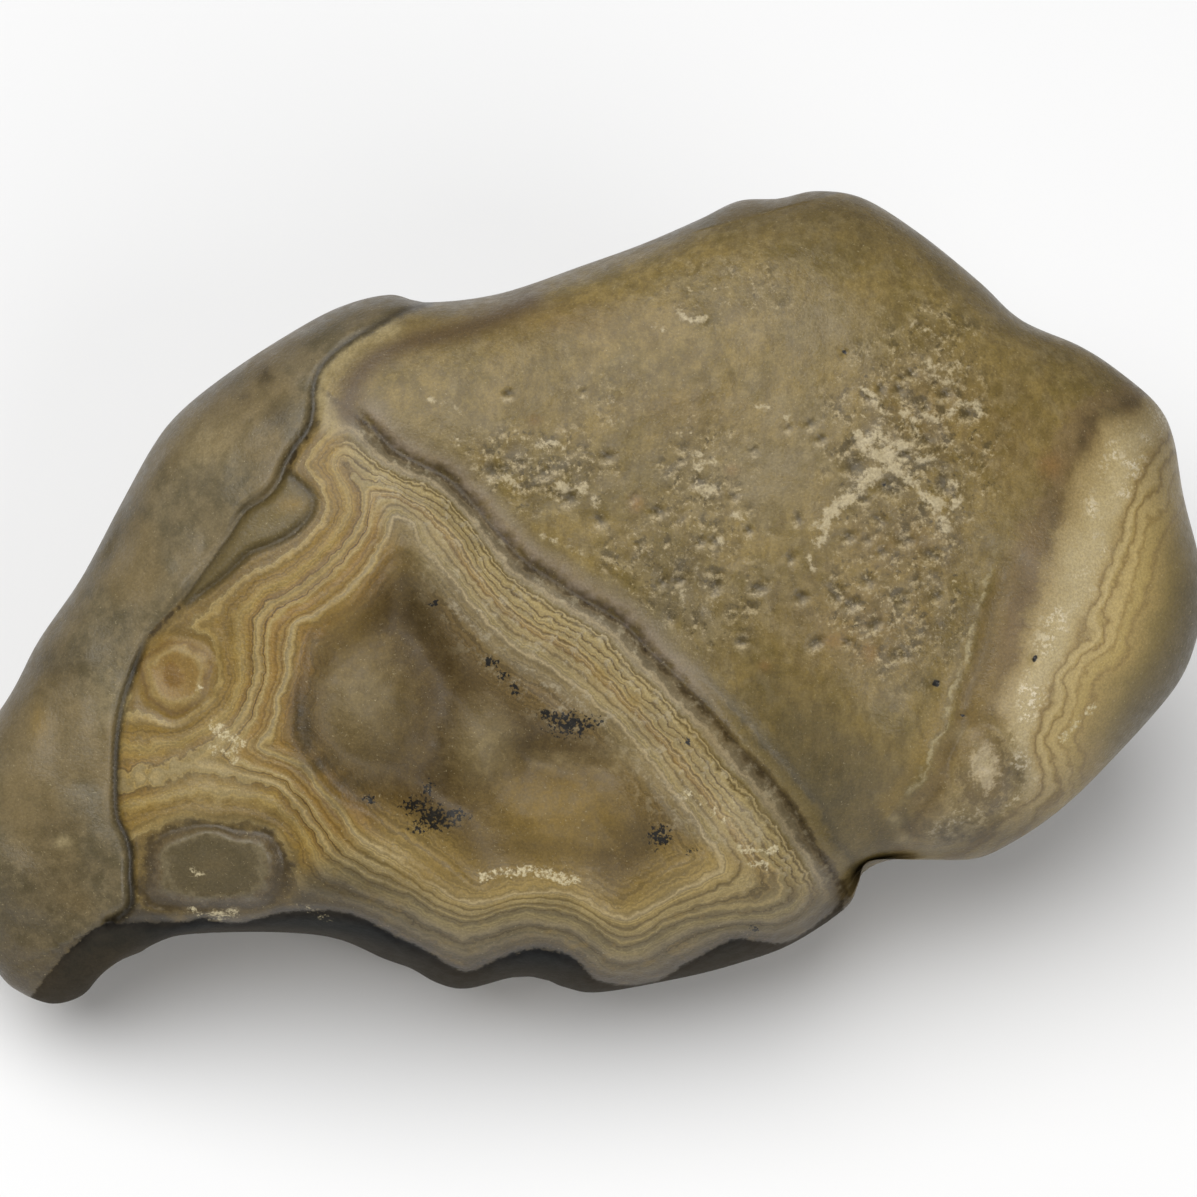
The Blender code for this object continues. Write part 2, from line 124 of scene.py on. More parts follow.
# The wall from which the bands grew at the upper left
RIND_WALL = [
    (-22.4, 14.0), (-23.2, 13.0), (-24.3, 11.5), (-24.7, 10.0), (-23.6, 9.2), (-22.8, 8.1), (-22.9, 6.6),
    (-24.2, 5.3), (-25.9, 4.4), (-27.8, 3.6), (-28.8, 2.8), (-30.1, 1.6), (-31.5, 0.5), (-32.7, -0.1),
    (-34.3, -1.4), (-35.9, -2.8),
]

# The upper edge of the charcoal layer along the stone's foot, from the left
FOOT = [
    (-45.5, -32.1), (-44.5, -30.7), (-42.9, -28.8), (-41.1, -27.0), (-39.2, -26.0), (-38.3, -26.0), (-35.9, -25.9),
    (-33.5, -25.9), (-31.6, -25.6), (-29.1, -26.0), (-27.5, -25.7), (-25.5, -25.2), (-22.3, -25.0), (-20.3, -25.2),
    (-18.3, -25.9), (-15.9, -27.2), (-13.5, -28.4), (-10.7, -29.9), (-7.9, -28.8), (-4.7, -28.0), (-1.9, -28.9),
    (0.1, -30.7), (4.1, -30.8), (7.3, -29.1), (10.9, -27.3), (14.9, -27.6), (18.1, -25.6), (19.7, -24.0),
]

# The strongest dark band, half way in, clockwise from its top
MIDDLE_BAND = [
    (-20.3, 10.9), (-18.8, 9.7), (-16.3, 8.8), (-13.7, 7.6), (-12.1, 6.3), (-10.8, 4.7), (-9.5, 2.5), (-8.1, 0.7),
    (-6.1, -1.0), (-3.6, -2.4), (-0.9, -4.1), (0.9, -6.0), (2.4, -7.4), (4.5, -9.6), (7.2, -12.6), (9.3, -15.3),
    (11.7, -18.1), (14.1, -21.1), (15.7, -23.6), (14.2, -24.8), (11.7, -25.1), (9.9, -25.2), (6.0, -26.0),
    (3.3, -27.7), (1.3, -27.7), (-0.8, -26.1), (-2.9, -25.1), (-6.8, -24.8), (-10.0, -25.9), (-12.7, -25.3),
    (-15.1, -23.8), (-17.9, -22.8), (-20.8, -21.2), (-22.4, -19.6), (-24.0, -17.1), (-26.0, -15.1),
    (-29.1, -14.4), (-32.1, -14.0), (-35.1, -15.1), (-39.1, -15.5), (-39.9, -13.9), (-37.5, -13.6),
    (-34.7, -13.1), (-31.5, -11.7), (-28.8, -9.4), (-28.0, -7.6), (-27.5, -5.7), (-27.7, -3.7), (-27.5, -1.7),
    (-26.5, -0.4), (-24.4, 0.6), (-22.5, 2.2), (-21.0, 3.8), (-19.4, 5.8), (-19.0, 7.6), (-19.6, 9.3),
]

# The innermost cream band, clockwise from its top
INNER_BAND = [
    (-16.4, 6.8), (-14.8, 5.8), (-13.8, 4.0), (-12.0, 2.1), (-10.0, -0.4), (-8.0, -2.7), (-5.7, -4.4), (-3.2, -5.8),
    (-0.9, -7.6), (0.9, -9.2), (3.3, -11.7), (5.7, -14.9), (8.0, -18.1), (9.9, -21.1), (8.5, -22.5), (5.9, -23.7),
    (3.3, -25.3), (1.3, -25.6), (-0.7, -24.5), (-2.7, -23.6), (-6.3, -23.6), (-9.5, -24.5), (-11.5, -24.0),
    (-13.9, -22.5), (-16.3, -20.8), (-18.7, -19.2), (-20.8, -16.9), (-22.8, -14.4), (-24.4, -13.0),
    (-26.9, -12.0), (-26.3, -10.9), (-25.6, -8.3), (-24.8, -5.7), (-24.8, -4.1), (-24.1, -2.0), (-22.7, -1.4),
    (-19.9, 0.7), (-18.1, 2.9), (-17.0, 4.8),
]

# The whitish crest between the pitted skin and the shoulder at the right, from its top down
CREST_LINE = [
    (32.3, 5.1), (31.7, 3.1), (30.9, 0.7), (30.4, -0.9), (29.9, -3.3), (29.3, -5.3), (28.5, -7.3), (28.0, -9.3),
    (27.3, -11.3), (26.5, -12.9), (25.9, -14.5), (24.8, -15.6), (24.0, -16.6),
]

# The brown line where the shoulder's cream bands begin, from the top edge down to the notch
CREAM_EDGE = [
    (42.4, 15.7), (40.5, 15.0), (39.3, 14.3), (38.7, 12.7), (37.4, 10.3), (37.1, 8.3), (36.4, 6.7), (35.6, 5.1),
    (35.2, 3.1), (34.5, 0.7), (34.0, -1.7), (33.1, -4.1), (32.1, -6.5), (31.3, -8.5), (31.3, -10.5), (29.9, -12.1),
    (28.3, -14.1), (26.7, -16.1), (25.1, -18.1), (24.1, -20.1),
]

# The strongest ochre line among the shoulder's bands, from the top down
OCHRE_LINE = [
    (45.9, 13.0), (44.1, 10.9), (43.2, 8.8), (42.1, 6.9), (41.3, 4.7), (40.4, 2.3), (40.0, -0.1), (39.0, -2.4),
    (37.7, -4.1), (36.6, -5.9), (36.0, -8.1), (35.2, -10.1), (34.8, -11.7), (35.5, -13.3), (35.6, -14.9),
    (34.5, -16.5), (32.5, -18.1), (30.1, -19.7), (27.7, -20.8),
]

# A tan stripe and the brown one beside it, where the skin meets the rind at the upper left
TAN_STRIPE = [(-16.5, 21.6), (-18.7, 20.7), (-20.3, 19.6), (-21.6, 18.4), (-22.2, 17.1), (-22.2, 15.5), (-21.5, 13.9)]
BROWN_STRIPE = [(-20.3, 14.9), (-19.5, 17.3), (-17.9, 19.2), (-15.1, 20.5), (-11.9, 21.2), (-8.7, 22.3), (-5.5, 23.9)]

# Round eyes of agate grown on the wall: middle, half width, half height, rise
LEFT_EYE = ((-34.0, -6.2), 2.4, 2.3, 0.3)
LOW_EYE = ((-30.9, -21.6), 4.9, 3.0, 0.5)
RIGHT_EYE = ((30.9, -13.7), 2.2, 3.0, 0.4)

# Solution pits in the skin: middle, half width, half height
PITS = [
    ((20.5, 10.8), 1.04, 0.72), ((23.5, 9.2), 1.36, 1.04), ((24.4, 11.7), 0.56, 0.40),
    ((27.6, 9.0), 0.88, 0.64), ((24.2, 16.3), 0.48, 0.48), ((22.8, 16.6), 0.32, 0.64),
    ((26.0, 15.2), 0.32, 0.64), ((20.5, 12.4), 0.40, 0.40), ((18.0, 13.0), 0.32, 0.40),
    ((17.0, 14.4), 0.40, 0.48), ((15.2, 14.0), 0.32, 0.32), ((12.8, 12.0), 0.32, 0.40),
    ((6.4, 11.2), 0.32, 0.32), ((25.1, 18.0), 0.40, 0.64), ((24.5, 17.5), 0.32, 0.40),
    ((21.6, 16.0), 0.40, 0.32), ((27.3, 16.3), 0.64, 0.40), ((29.3, 14.9), 0.56, 0.48),
    ((26.1, 12.3), 0.48, 0.40), ((21.7, 7.9), 0.48, 0.40), ((22.5, 6.3), 0.40, 0.40), ((24.5, 4.7), 0.96, 0.48),
    ((26.5, 3.7), 0.72, 0.40), ((22.7, 3.7), 0.48, 0.40), ((20.1, 5.1), 0.40, 0.48), ((21.1, 4.7), 0.32, 0.40),
    ((12.1, 5.5), 0.40, 0.40), ((9.4, 4.8), 0.40, 0.40), ((8.1, 4.7), 0.48, 0.40), ((5.3, 1.3), 0.40, 0.56),
    ((6.5, 1.5), 0.48, 0.48), ((9.3, 1.1), 0.64, 0.72), ((5.7, -1.7), 0.48, 0.64), ((10.9, 7.9), 0.40, 0.32),
    ((7.7, 9.1), 0.48, 0.48), ((4.5, 7.1), 0.64, 0.56), ((-7.5, 16.7), 0.48, 0.40), ((-1.1, 16.7), 0.40, 0.32),
    ((-4.7, 9.9), 0.72, 0.56), ((-2.3, 8.3), 0.64, 0.40), ((-8.3, 10.4), 0.64, 0.72), ((0.9, 11.5), 0.48, 0.40),
    ((0.1, 6.3), 0.48, 0.32), ((2.8, 7.9), 0.24, 0.48), ((16.1, 6.3), 0.40, 0.56), ((15.3, 3.1), 0.48, 0.48),
    ((18.9, 0.7), 0.72, 0.64), ((20.1, -0.1), 0.80, 0.64), ((21.7, 1.5), 0.64, 0.48),
    ((16.1, -0.1), 0.64, 0.56), ((12.9, 0.7), 0.56, 0.48), ((24.5, -0.1), 0.56, 0.56),
    ((22.5, -1.7), 0.64, 0.48), ((19.7, -3.3), 0.56, 0.40), ((17.3, -3.3), 0.64, 0.48),
    ((11.3, -3.3), 0.56, 0.48), ((24.1, -4.1), 0.48, 0.40), ((27.3, -0.1), 0.40, 0.48),
]

# Where the finest pits crowd together: middle, half width, half height, share of the skin that they take
PIT_CROWDS = [
    ((-5.1, 10.3), 6.0, 3.4, 0.6), ((8.1, 7.1), 4.0, 7.0, 0.55), ((10.5, 24.7), 8.0, 3.5, 0.25),
    ((24.9, 11.9), 6.0, 8.0, 0.8), ((24.1, -0.1), 6.0, 6.0, 0.6), ((0.9, 15.9), 5.0, 2.5, 0.25),
    ((8.1, -0.1), 6.0, 4.0, 0.45), ((27.3, 19.9), 4.0, 5.0, 0.4), ((3.3, 3.1), 4.0, 4.0, 0.35),
]

# Pale frosted crests between the pits, partly pale crust and partly painted highlight: points, half width, strength
FROST_AND_SHEEN = [
    ([(20.8, 13.1), (21.7, 12.1), (22.8, 11.1), (23.9, 10.2), (25.2, 9.2)], 0.40, 1.0),
    ([(21.9, 12.7), (22.7, 12.0), (23.3, 11.1), (24.0, 11.7)], 1.04, 0.75),
    ([(22.3, 10.1), (21.1, 9.1), (19.9, 8.0), (18.7, 6.9), (18.1, 6.0), (17.8, 4.8)], 0.64, 0.85),
    ([(21.1, 16.9), (21.7, 16.4), (22.4, 15.6), (22.7, 14.9)], 0.40, 0.7),
    ([(24.5, 14.9), (25.2, 14.0), (25.8, 13.0)], 0.40, 0.6),
    ([(26.1, 14.5), (27.2, 14.2), (28.0, 14.5), (28.8, 15.4), (30.0, 15.6), (30.6, 14.8)], 0.32, 0.8),
    ([(25.5, 11.2), (26.6, 11.2)], 0.32, 1.0),
    ([(26.4, 8.1), (27.2, 7.7), (27.6, 6.5), (27.9, 6.0)], 0.56, 0.9),
    ([(28.1, 9.1), (28.8, 8.6), (28.5, 7.6)], 0.40, 0.7),
    ([(25.2, 9.2), (26.0, 8.4), (26.8, 7.9)], 0.32, 0.6),
    ([(26.1, 18.7), (27.3, 18.3), (28.3, 18.1), (29.2, 18.9)], 0.64, 0.5),
    ([(26.9, 18.0), (28.1, 17.2)], 0.56, 0.5),
    ([(25.3, 21.8), (26.5, 21.4), (27.4, 21.1)], 0.48, 0.5),
    ([(6.4, 23.1), (7.3, 22.3), (8.4, 22.4)], 0.32, 0.7),
    ([(4.5, 21.9), (5.1, 21.6)], 0.32, 0.6),
    ([(8.1, 11.4), (8.8, 10.9), (9.3, 11.1)], 0.32, 0.8),
    ([(7.9, 8.8), (8.7, 8.5), (9.4, 8.7)], 0.40, 0.9),
    ([(10.9, 6.7), (11.5, 6.3)], 0.32, 0.9),
    ([(7.7, 11.5), (8.1, 10.3)], 0.40, 0.5),
    ([(9.4, 4.7), (10.0, 4.4)], 0.32, 0.8),
    ([(7.8, 2.7), (8.0, 1.3)], 0.24, 0.7),
    ([(6.8, 0.7), (6.7, -0.6)], 0.24, 0.6),
    ([(-4.7, 12.3), (-3.5, 12.4), (-2.7, 11.9)], 0.32, 0.6),
    ([(-3.1, 9.1), (-1.9, 8.7), (-1.1, 8.9)], 0.40, 0.8),
    ([(-7.9, 11.1), (-7.5, 9.9), (-6.3, 8.7)], 0.40, 0.6),
    ([(-6.3, 11.5), (-5.5, 11.1)], 0.32, 0.8),
    ([(-0.3, 7.9), (0.5, 6.9)], 0.32, 0.6),
    ([(-4.3, 5.1), (-3.6, 4.7)], 0.32, 0.7),
    ([(-13.5, 15.9), (-11.9, 15.5), (-11.1, 14.9)], 0.32, 0.4),
    ([(-11.6, 12.8), (-11.2, 12.4)], 0.24, 0.9),
    ([(13.7, 5.5), (13.3, 4.0)], 0.24, 0.4),
    ([(16.8, 3.2), (17.2, 2.3)], 0.24, 0.7),
    ([(18.5, -0.1), (18.7, -0.6)], 0.24, 0.8),
    ([(-9.9, 10.3), (-8.7, 9.6)], 0.40, 0.5),
    ([(-2.3, 4.3), (-1.5, 3.7)], 0.32, 0.5),
    ([(3.3, 4.3), (3.7, 3.4)], 0.32, 0.5),
    ([(12.5, 15.5), (13.7, 15.1)], 0.32, 0.5),
    ([(14.9, 14.4), (15.7, 14.0)], 0.32, 0.7),
    ([(0.5, 14.7), (1.1, 14.0)], 0.32, 0.5),
]

# Painted highlights: whitish glints where the light catches the wet banded face, broken up like chips and grains:
# points, half width, strength
GLINTS = [
    ([(-9.3, -22.2), (-7.1, -21.9), (-4.3, -22.0), (-2.0, -22.5)], 0.40, 0.9),
    ([(11.5, -20.1), (12.8, -20.4), (14.1, -20.0)], 0.32, 1.0),
    ([(12.3, -21.1), (13.4, -21.4)], 0.32, 0.9),
    ([(-31.2, -9.9), (-30.1, -10.7), (-28.8, -11.5)], 0.56, 0.6),
    ([(-30.7, -12.1), (-29.3, -12.7)], 0.48, 0.6),
    ([(-32.5, -24.9), (-30.9, -25.3), (-29.0, -25.2)], 0.32, 0.7),
    ([(-32.4, -21.7), (-31.8, -22.0)], 0.32, 0.8),
    ([(-32.5, -7.5), (-32.0, -7.2)], 0.32, 0.6),
    ([(37.1, -11.2), (38.4, -9.9), (39.6, -8.6)], 0.32, 0.7),
    ([(9.7, -17.7), (10.9, -16.1)], 0.40, 0.5),
    ([(7.3, -15.7), (9.1, -17.1)], 0.48, 0.5),
    ([(-23.9, -24.5), (-21.5, -25.6)], 0.32, 0.4),
]

# Broad tints, painted shade, painted highlights and the black specks of ore: middle, half width, half height, strength
TINTS = {
    "grey": [
        ((12.9, 9.9), 6.0, 3.0, 0.8), ((17.7, 21.9), 6.0, 3.0, 0.6), ((26.5, 18.3), 3.0, 2.0, 0.5),
        ((16.1, 14.3), 4.8, 3.0, 0.5), ((7.3, -1.7), 4.8, 3.0, 0.5), ((-12.7, 13.5), 4.0, 2.0, 0.3),
        ((22.9, 11.9), 1.8, 1.8, 0.6),
    ],
    "warm": [
        ((26.5, 15.1), 5.0, 4.0, 0.5), ((32.1, 12.7), 4.5, 4.5, 0.4), ((24.5, 4.3), 5.0, 3.0, 0.6),
        ((21.3, -2.1), 6.0, 4.0, 0.6), ((36.1, 10.9), 1.3, 1.3, 0.8), ((7.3, 15.1), 4.0, 2.0, 0.3),
        ((-3.1, 22.3), 6.0, 1.6, 0.5), ((21.3, -4.5), 1.5, 1.2, 0.9), ((33.7, -0.1), 1.4, 4.0, 0.7),
    ],
    "green": [
        ((18.1, -16.1), 5.0, 7.0, 0.9), ((15.3, -11.3), 3.0, 4.0, 0.7), ((13.7, -8.1), 3.0, 3.0, 0.4),
        ((5.3, -0.5), 2.4, 4.0, 0.5), ((17.7, 27.9), 4.0, 2.0, 0.4), ((22.5, -20.9), 5.0, 3.0, 0.8),
        ((3.3, 9.5), 4.8, 3.2, 0.4), ((-3.1, 10.3), 4.0, 2.4, 0.35),
    ],
    # Painted shade in the hollow's recess, in the valleys between its lumps and along its steep left edge; elsewhere
    # darker patches of the stone, more of them towards the foot and the tail's lower end
    "dark": [
        ((-17.7, 12.5), 1.8, 0.7, 0.5), ((-12.9, 10.1), 2.0, 0.8, 0.4), ((-12.6, -7.5), 0.9, 3.0, 0.3),
        ((-14.4, -0.1), 1.8, 4.4, 0.55), ((-12.7, -12.7), 0.9, 3.4, 0.5), ((-23.5, -11.0), 0.9, 2.9, 1.0),
        ((-19.7, -16.1), 2.4, 1.3, 0.5), ((-5.5, -11.5), 1.3, 2.2, 0.35), ((3.7, -19.2), 1.2, 1.9, 0.5),
        ((-12.3, -17.1), 2.1, 1.1, 0.3), ((-43.1, -5.6), 2.7, 2.2, 0.45), ((-43.1, -18.7), 2.4, 2.0, 0.5),
        ((-26.7, 17.9), 0.7, 1.0, 0.8), ((-25.7, 14.5), 1.0, 1.0, 0.7), ((-28.3, 16.0), 0.6, 0.6, 0.6),
        ((-43.9, -24.1), 4.8, 4.8, 0.55), ((-38.3, -28.9), 4.8, 2.6, 0.6), ((-46.3, -29.7), 4.8, 3.2, 0.5),
        ((-20.7, -23.5), 5.0, 1.8, 0.6), ((-27.5, -24.5), 5.6, 1.1, 0.5), ((-34.7, -24.5), 1.6, 1.8, 0.5),
        ((-24.8, -21.9), 1.0, 2.1, 0.7), ((-29.3, -17.8), 5.6, 0.9, 0.7), ((28.6, -18.9), 7.0, 2.2, 0.95),
        ((34.5, -17.9), 4.4, 1.1, 0.5), ((27.3, -17.1), 2.0, 1.6, 0.6), ((24.5, -14.5), 1.4, 1.8, 0.3),
        ((33.6, -13.9), 1.0, 1.8, 0.7), ((33.9, 0.3), 1.2, 2.7, 0.35), ((42.5, 15.7), 1.0, 0.5, 0.7),
        ((40.8, 14.9), 1.1, 0.5, 0.7), ((39.3, 14.1), 0.8, 0.8, 0.6), ((38.7, 12.7), 0.5, 1.1, 0.6),
        ((36.3, 6.7), 0.6, 2.7, 0.45), ((-29.3, -1.7), 1.0, 2.1, 0.3), ((7.3, 1.9), 2.4, 2.1, 0.3),
        ((15.3, -0.1), 3.2, 2.4, 0.25), ((-23.9, -9.4), 0.9, 2.4, 1.0), ((-23.4, -11.6), 1.0, 1.7, 1.0),
        ((-22.1, -13.2), 1.8, 1.0, 1.0), ((-20.0, -14.8), 2.0, 0.9, 0.9), ((-15.3, 1.9), 0.9, 2.4, 0.6),
        ((-13.3, -1.3), 1.2, 2.0, 0.5), ((-12.2, -9.5), 0.9, 3.4, 0.4),
    ],
    "rust": [
        ((3.0, 7.6), 0.5, 0.6, 0.9), ((18.8, -3.4), 0.7, 0.5, 0.6), ((21.7, -4.3), 0.6, 0.6, 0.7),
        ((13.3, -5.4), 0.5, 0.4, 0.6), ((36.2, 10.6), 1.0, 1.0, 0.6), ((-5.1, 14.3), 0.5, 0.4, 0.5),
        ((10.7, 10.3), 0.5, 0.4, 0.5),
    ],
    "amber": [
        ((-20.4, -1.6), 2.6, 3.4, 0.75), ((-16.0, 2.7), 1.6, 2.4, 0.6), ((-3.1, -17.3), 6.2, 4.0, 0.8),
        ((-13.5, -21.9), 3.2, 1.4, 0.6), ((-24.5, 7.5), 1.3, 0.6, 0.8), ((-29.9, -2.9), 1.9, 2.4, 0.5),
        ((-35.9, -17.1), 2.4, 1.0, 0.3), ((-29.5, -17.1), 3.6, 0.7, 0.3), ((-44.8, -9.9), 0.7, 1.6, 0.6),
        ((0.1, -6.1), 0.6, 0.6, 0.9), ((2.9, -8.1), 0.6, 0.6, 0.9), ((-17.9, -3.3), 1.3, 2.4, 0.3),
        ((8.1, -11.3), 2.4, 1.4, 0.3),
    ],
    # Paler stone, with painted highlights on the shoulder's bright patch and in the whitish crease below the left eye
    "pale": [
        ((30.7, -13.2), 1.2, 1.7, 0.6), ((28.9, -10.9), 0.8, 0.8, 0.4), ((11.4, -18.0), 3.0, 2.0, 0.4),
        ((-31.5, -14.2), 5.0, 2.9, 0.6), ((-29.9, -11.2), 2.1, 1.9, 0.6), ((-8.9, -12.0), 2.1, 2.4, 0.35),
        ((-19.1, -7.3), 3.0, 3.5, 0.25), ((-31.9, 12.5), 3.0, 2.4, 0.35), ((-42.7, -19.5), 0.7, 0.5, 0.9),
        ((-39.1, -8.1), 1.8, 2.9, 0.3), ((38.1, 0.7), 1.8, 4.2, 0.5), ((40.5, 5.1), 1.4, 2.7, 0.5),
        ((36.5, -4.1), 1.4, 3.4, 0.4), ((-13.5, 3.1), 1.3, 2.7, 0.3), ((-3.1, -12.9), 3.2, 0.8, 0.25),
        ((1.7, -12.9), 2.4, 1.6, 0.3), ((23.7, -17.7), 0.6, 0.5, 0.7), ((24.5, -19.3), 0.6, 0.5, 0.7),
        ((-31.9, -8.1), 1.0, 0.6, 0.4),
    ],
    "specks": [
        ((-13.1, -0.4), 0.4, 0.3, 1.0), ((-8.7, -5.2), 0.7, 0.4, 1.0), ((-7.6, -6.2), 0.5, 0.5, 0.9),
        ((-6.6, -7.3), 0.6, 0.5, 0.9), ((-2.4, -10.0), 1.8, 1.0, 1.0), ((-3.4, -9.4), 1.0, 0.6, 0.9),
        ((-0.8, -9.9), 1.1, 0.7, 0.8), ((-13.0, -17.5), 1.6, 1.0, 1.0), ((-14.6, -16.6), 1.4, 0.7, 0.9),
        ((-13.6, -15.3), 0.6, 1.0, 0.8), ((-11.7, -17.4), 1.3, 0.8, 0.9), ((-18.2, -16.0), 0.6, 0.4, 1.0),
        ((4.9, -19.0), 0.9, 1.0, 1.0), ((7.0, -11.5), 0.4, 0.3, 1.0), ((7.4, -20.2), 0.4, 0.3, 1.0),
        ((12.4, -26.4), 0.4, 0.3, 1.0), ((-4.3, -9.1), 0.6, 0.4, 0.8), ((-14.3, -18.4), 0.8, 0.5, 0.8),
    ],
}

# Fine open holes: middle and radius
PINHOLES = [((34.9, -4.8), 0.3), ((19.7, 19.7), 0.26), ((22.9, 9.2), 0.2), ((27.0, -6.8), 0.35), ((29.1, -9.3), 0.2)]


def linear(hex_color):
    """An sRGB hex colour as linear red, green, blue and alpha."""
    parts = [int(hex_color[i : i + 2], 16) / 255 for i in (1, 3, 5)]
    return tuple(p / 12.92 if p <= 0.04045 else ((p + 0.055) / 1.055) ** 2.4 for p in parts) + (1.0,)


def smooth_line(points, closed=False, steps=5):
    """Catmull-Rom curve through the points, as an array of points along it."""
    count = len(points)
    line = np.array(points, float)
    found = []
    for i in range(count if closed else count - 1):
        if closed:
            a, b, c, d = (line[(i + k) % count] for k in (-1, 0, 1, 2))
        else:
            a, b, c, d = (line[min(max(i + k, 0), count - 1)] for k in (-1, 0, 1, 2))
        for t in np.arange(steps) / steps:
            found.append(
                b + 0.5 * t * (c - a + t * (2 * a - 5 * b + 4 * c - d + t * (3 * (b - c) + d - a)))
            )
    if not closed:
        found.append(line[-1])
    return np.array(found)


def line_distance(flat, line, closed=False):
    """For each point: distance to the line, share of the line's length there, and which side it is on."""
    starts = line if closed else line[:-1]
    ends = np.roll(line, -1, axis=0) if closed else line[1:]
    steps = np.linalg.norm(ends - starts, axis=1)
    before = np.concatenate([[0], np.cumsum(steps)[:-1]])
    nearest = np.full(len(flat), np.inf)
    share = np.zeros(len(flat))
    side = np.ones(len(flat))
    for a, b, step, past in zip(starts, ends, steps, before):
        along = np.clip((flat - a) @ (b - a) / step**2, 0, 1)
        off = flat - a - along[:, None] * (b - a)
        gap = np.hypot(off[:, 0], off[:, 1])
        closer = gap < nearest
        cross = (b - a)[0] * (flat - a)[:, 1] - (b - a)[1] * (flat - a)[:, 0]
        nearest = np.where(closer, gap, nearest)
        share = np.where(closer, (past + along * step) / steps.sum(), share)
        side = np.where(closer, np.where(cross > 0, 1.0, -1.0), side)
    return nearest, share, side


def inside(flat, ring):
    """True for the points that the closed ring surrounds."""
    found = np.zeros(len(flat), bool)
    for a, b in zip(ring, np.roll(ring, -1, axis=0)):
        spans = (a[1] > flat[:, 1]) != (b[1] > flat[:, 1])
        reach = (b[0] - a[0]) * (flat[:, 1] - a[1]) / (b[1] - a[1] + 1e-12) + a[0]
        found ^= spans & (flat[:, 0] < reach)
    return found


def ring_depth(flat, points):
    """How far inside the smooth closed ring each point is, in mm, less than 0 outside it."""
    ring = smooth_line(points, closed=True)
    gap, _, _ = line_distance(flat, ring, closed=True)
    return np.where(inside(flat, ring), gap, -gap)


def soft_depth(flat, points):
    """How far inside the ring each point is, as ring_depth says it, but smooth where the walls are equally near."""
    ring = smooth_line(points, closed=True)
    share = np.zeros(len(flat))
    for a, b in zip(ring, np.roll(ring, -1, axis=0)):
        reach = np.hypot(*(flat - (a + b) / 2).T)
        share += np.exp(-SOFTNESS * reach) * np.hypot(*(b - a))
    within = (math.log(2 / SOFTNESS) - np.log(share + 1e-30)) / SOFTNESS
    return np.where(inside(flat, ring), np.maximum(within, 0), ring_depth(flat, points))


def line_offset(flat, points):
    """Distance to the smooth line in mm, more than 0 to the left of its direction, and the share along it."""
    gap, share, side = line_distance(flat, smooth_line(points))
    return gap * side, share


def ramp(value, low, high):
    """0 below low, 1 above high and a soft step between."""
    t = np.clip((value - low) / (high - low), 0, 1)
    return t * t * (3 - 2 * t)


def lumps(points, size, seed):
    """Smooth noise between -1 and 1 whose lumps are about as wide as size."""
    grid = points / size
    cell = np.floor(grid).astype(np.int64)
    share = grid - cell
    share = share**3 * (share * (share * 6 - 15) + 10)
    total = np.zeros(len(points))
    for corner in itertools.product((0, 1), repeat=3):
        key = (cell + corner) @ np.array([73856093, 19349663, 83492791]) + seed * 6971
        key = ((key ^ (key >> 13)) * 1274126177) & 0xFFFFFFFF
        key = ((key ^ (key >> 15)) * 668265263) & 0xFFFFFFFF
        value = (key >> 8) / float(1 << 23) - 1
        total += value * np.prod(np.where(corner, share, 1 - share), axis=1)
    return total


def section(around, out):
    """Spreads a disc smoothly over the widest section: around is the angle, out the share of the radius."""
    edge = smooth_line(OUTLINE, closed=True, steps=16)
    ring = np.concatenate([edge, edge[:1]])
    length = np.concatenate([[0], np.cumsum(np.linalg.norm(np.diff(ring, axis=0), axis=1))])
    even = np.linspace(0, length[-1], 2048, endpoint=False)
    rim = np.interp(even, length, ring[:, 0]) + 1j * np.interp(even, length, ring[:, 1])
    # The outline runs clockwise, so it is turned round to run with the angle.
    waves = np.fft.fft(rim[::-1]) / len(rim)
    place = np.full(len(around), waves[0])
    turn = np.exp(1j * around)
    wave = np.ones(len(around), complex)
    for k in range(1, 180):
        wave = wave * turn * out
        place = place + waves[k] * wave + waves[-k] * np.conj(wave)
    return np.stack([place.real, place.imag], axis=1)


def body(directions):
    """The stone's smooth mass: places in x, v and w, and how far each looks out of the show face."""
    forward = directions[:, 2]
    out = np.hypot(directions[:, 0], directions[:, 1])
    flat = section(np.arctan2(directions[:, 1], directions[:, 0]), out)
    thin_tail = 1 - 0.34 * ramp(-flat[:, 0], 18, 52)
    thin_right = 1 - 0.16 * ramp(flat[:, 0], 22, 48)
    front = FRONT_RISE * np.sqrt(np.clip(1 - out**4, 0, 1)) * thin_tail * thin_right
    back = BACK_DEPTH * np.clip(1 - out**2.3, 0, 1) ** 0.52 * (1 - 0.2 * ramp(-flat[:, 0], 14, 52))
    w = np.where(forward > 0, front, -back)
    return flat, w, np.clip(forward, -1, 1)


def oval(flat, middle, half_width, half_height, power=2.0):
    """0 in the oval's middle, 1 on its edge and more outside it. A higher power makes it squarer."""
    across = np.abs((flat - middle) / (half_width, half_height))
    return (across**power).sum(axis=1) ** (1 / power)


def mound(flat, middle, half_width, half_height):
    """A soft swelling: 1 in its middle, 0.3 at its half width and near 0 at twice that."""
    return np.exp(-1.2 * oval(flat, middle, half_width, half_height) ** 2)


def spots_field(flat, spots):
    """The strongest of the soft spots at each point: spots hold middle, half width, half height and strength."""
    field = np.zeros(len(flat))
    for middle, half_width, half_height, strength in spots:
        field = np.maximum(field, strength * np.exp(-oval(flat, middle, half_width, half_height) ** 2))
    return field


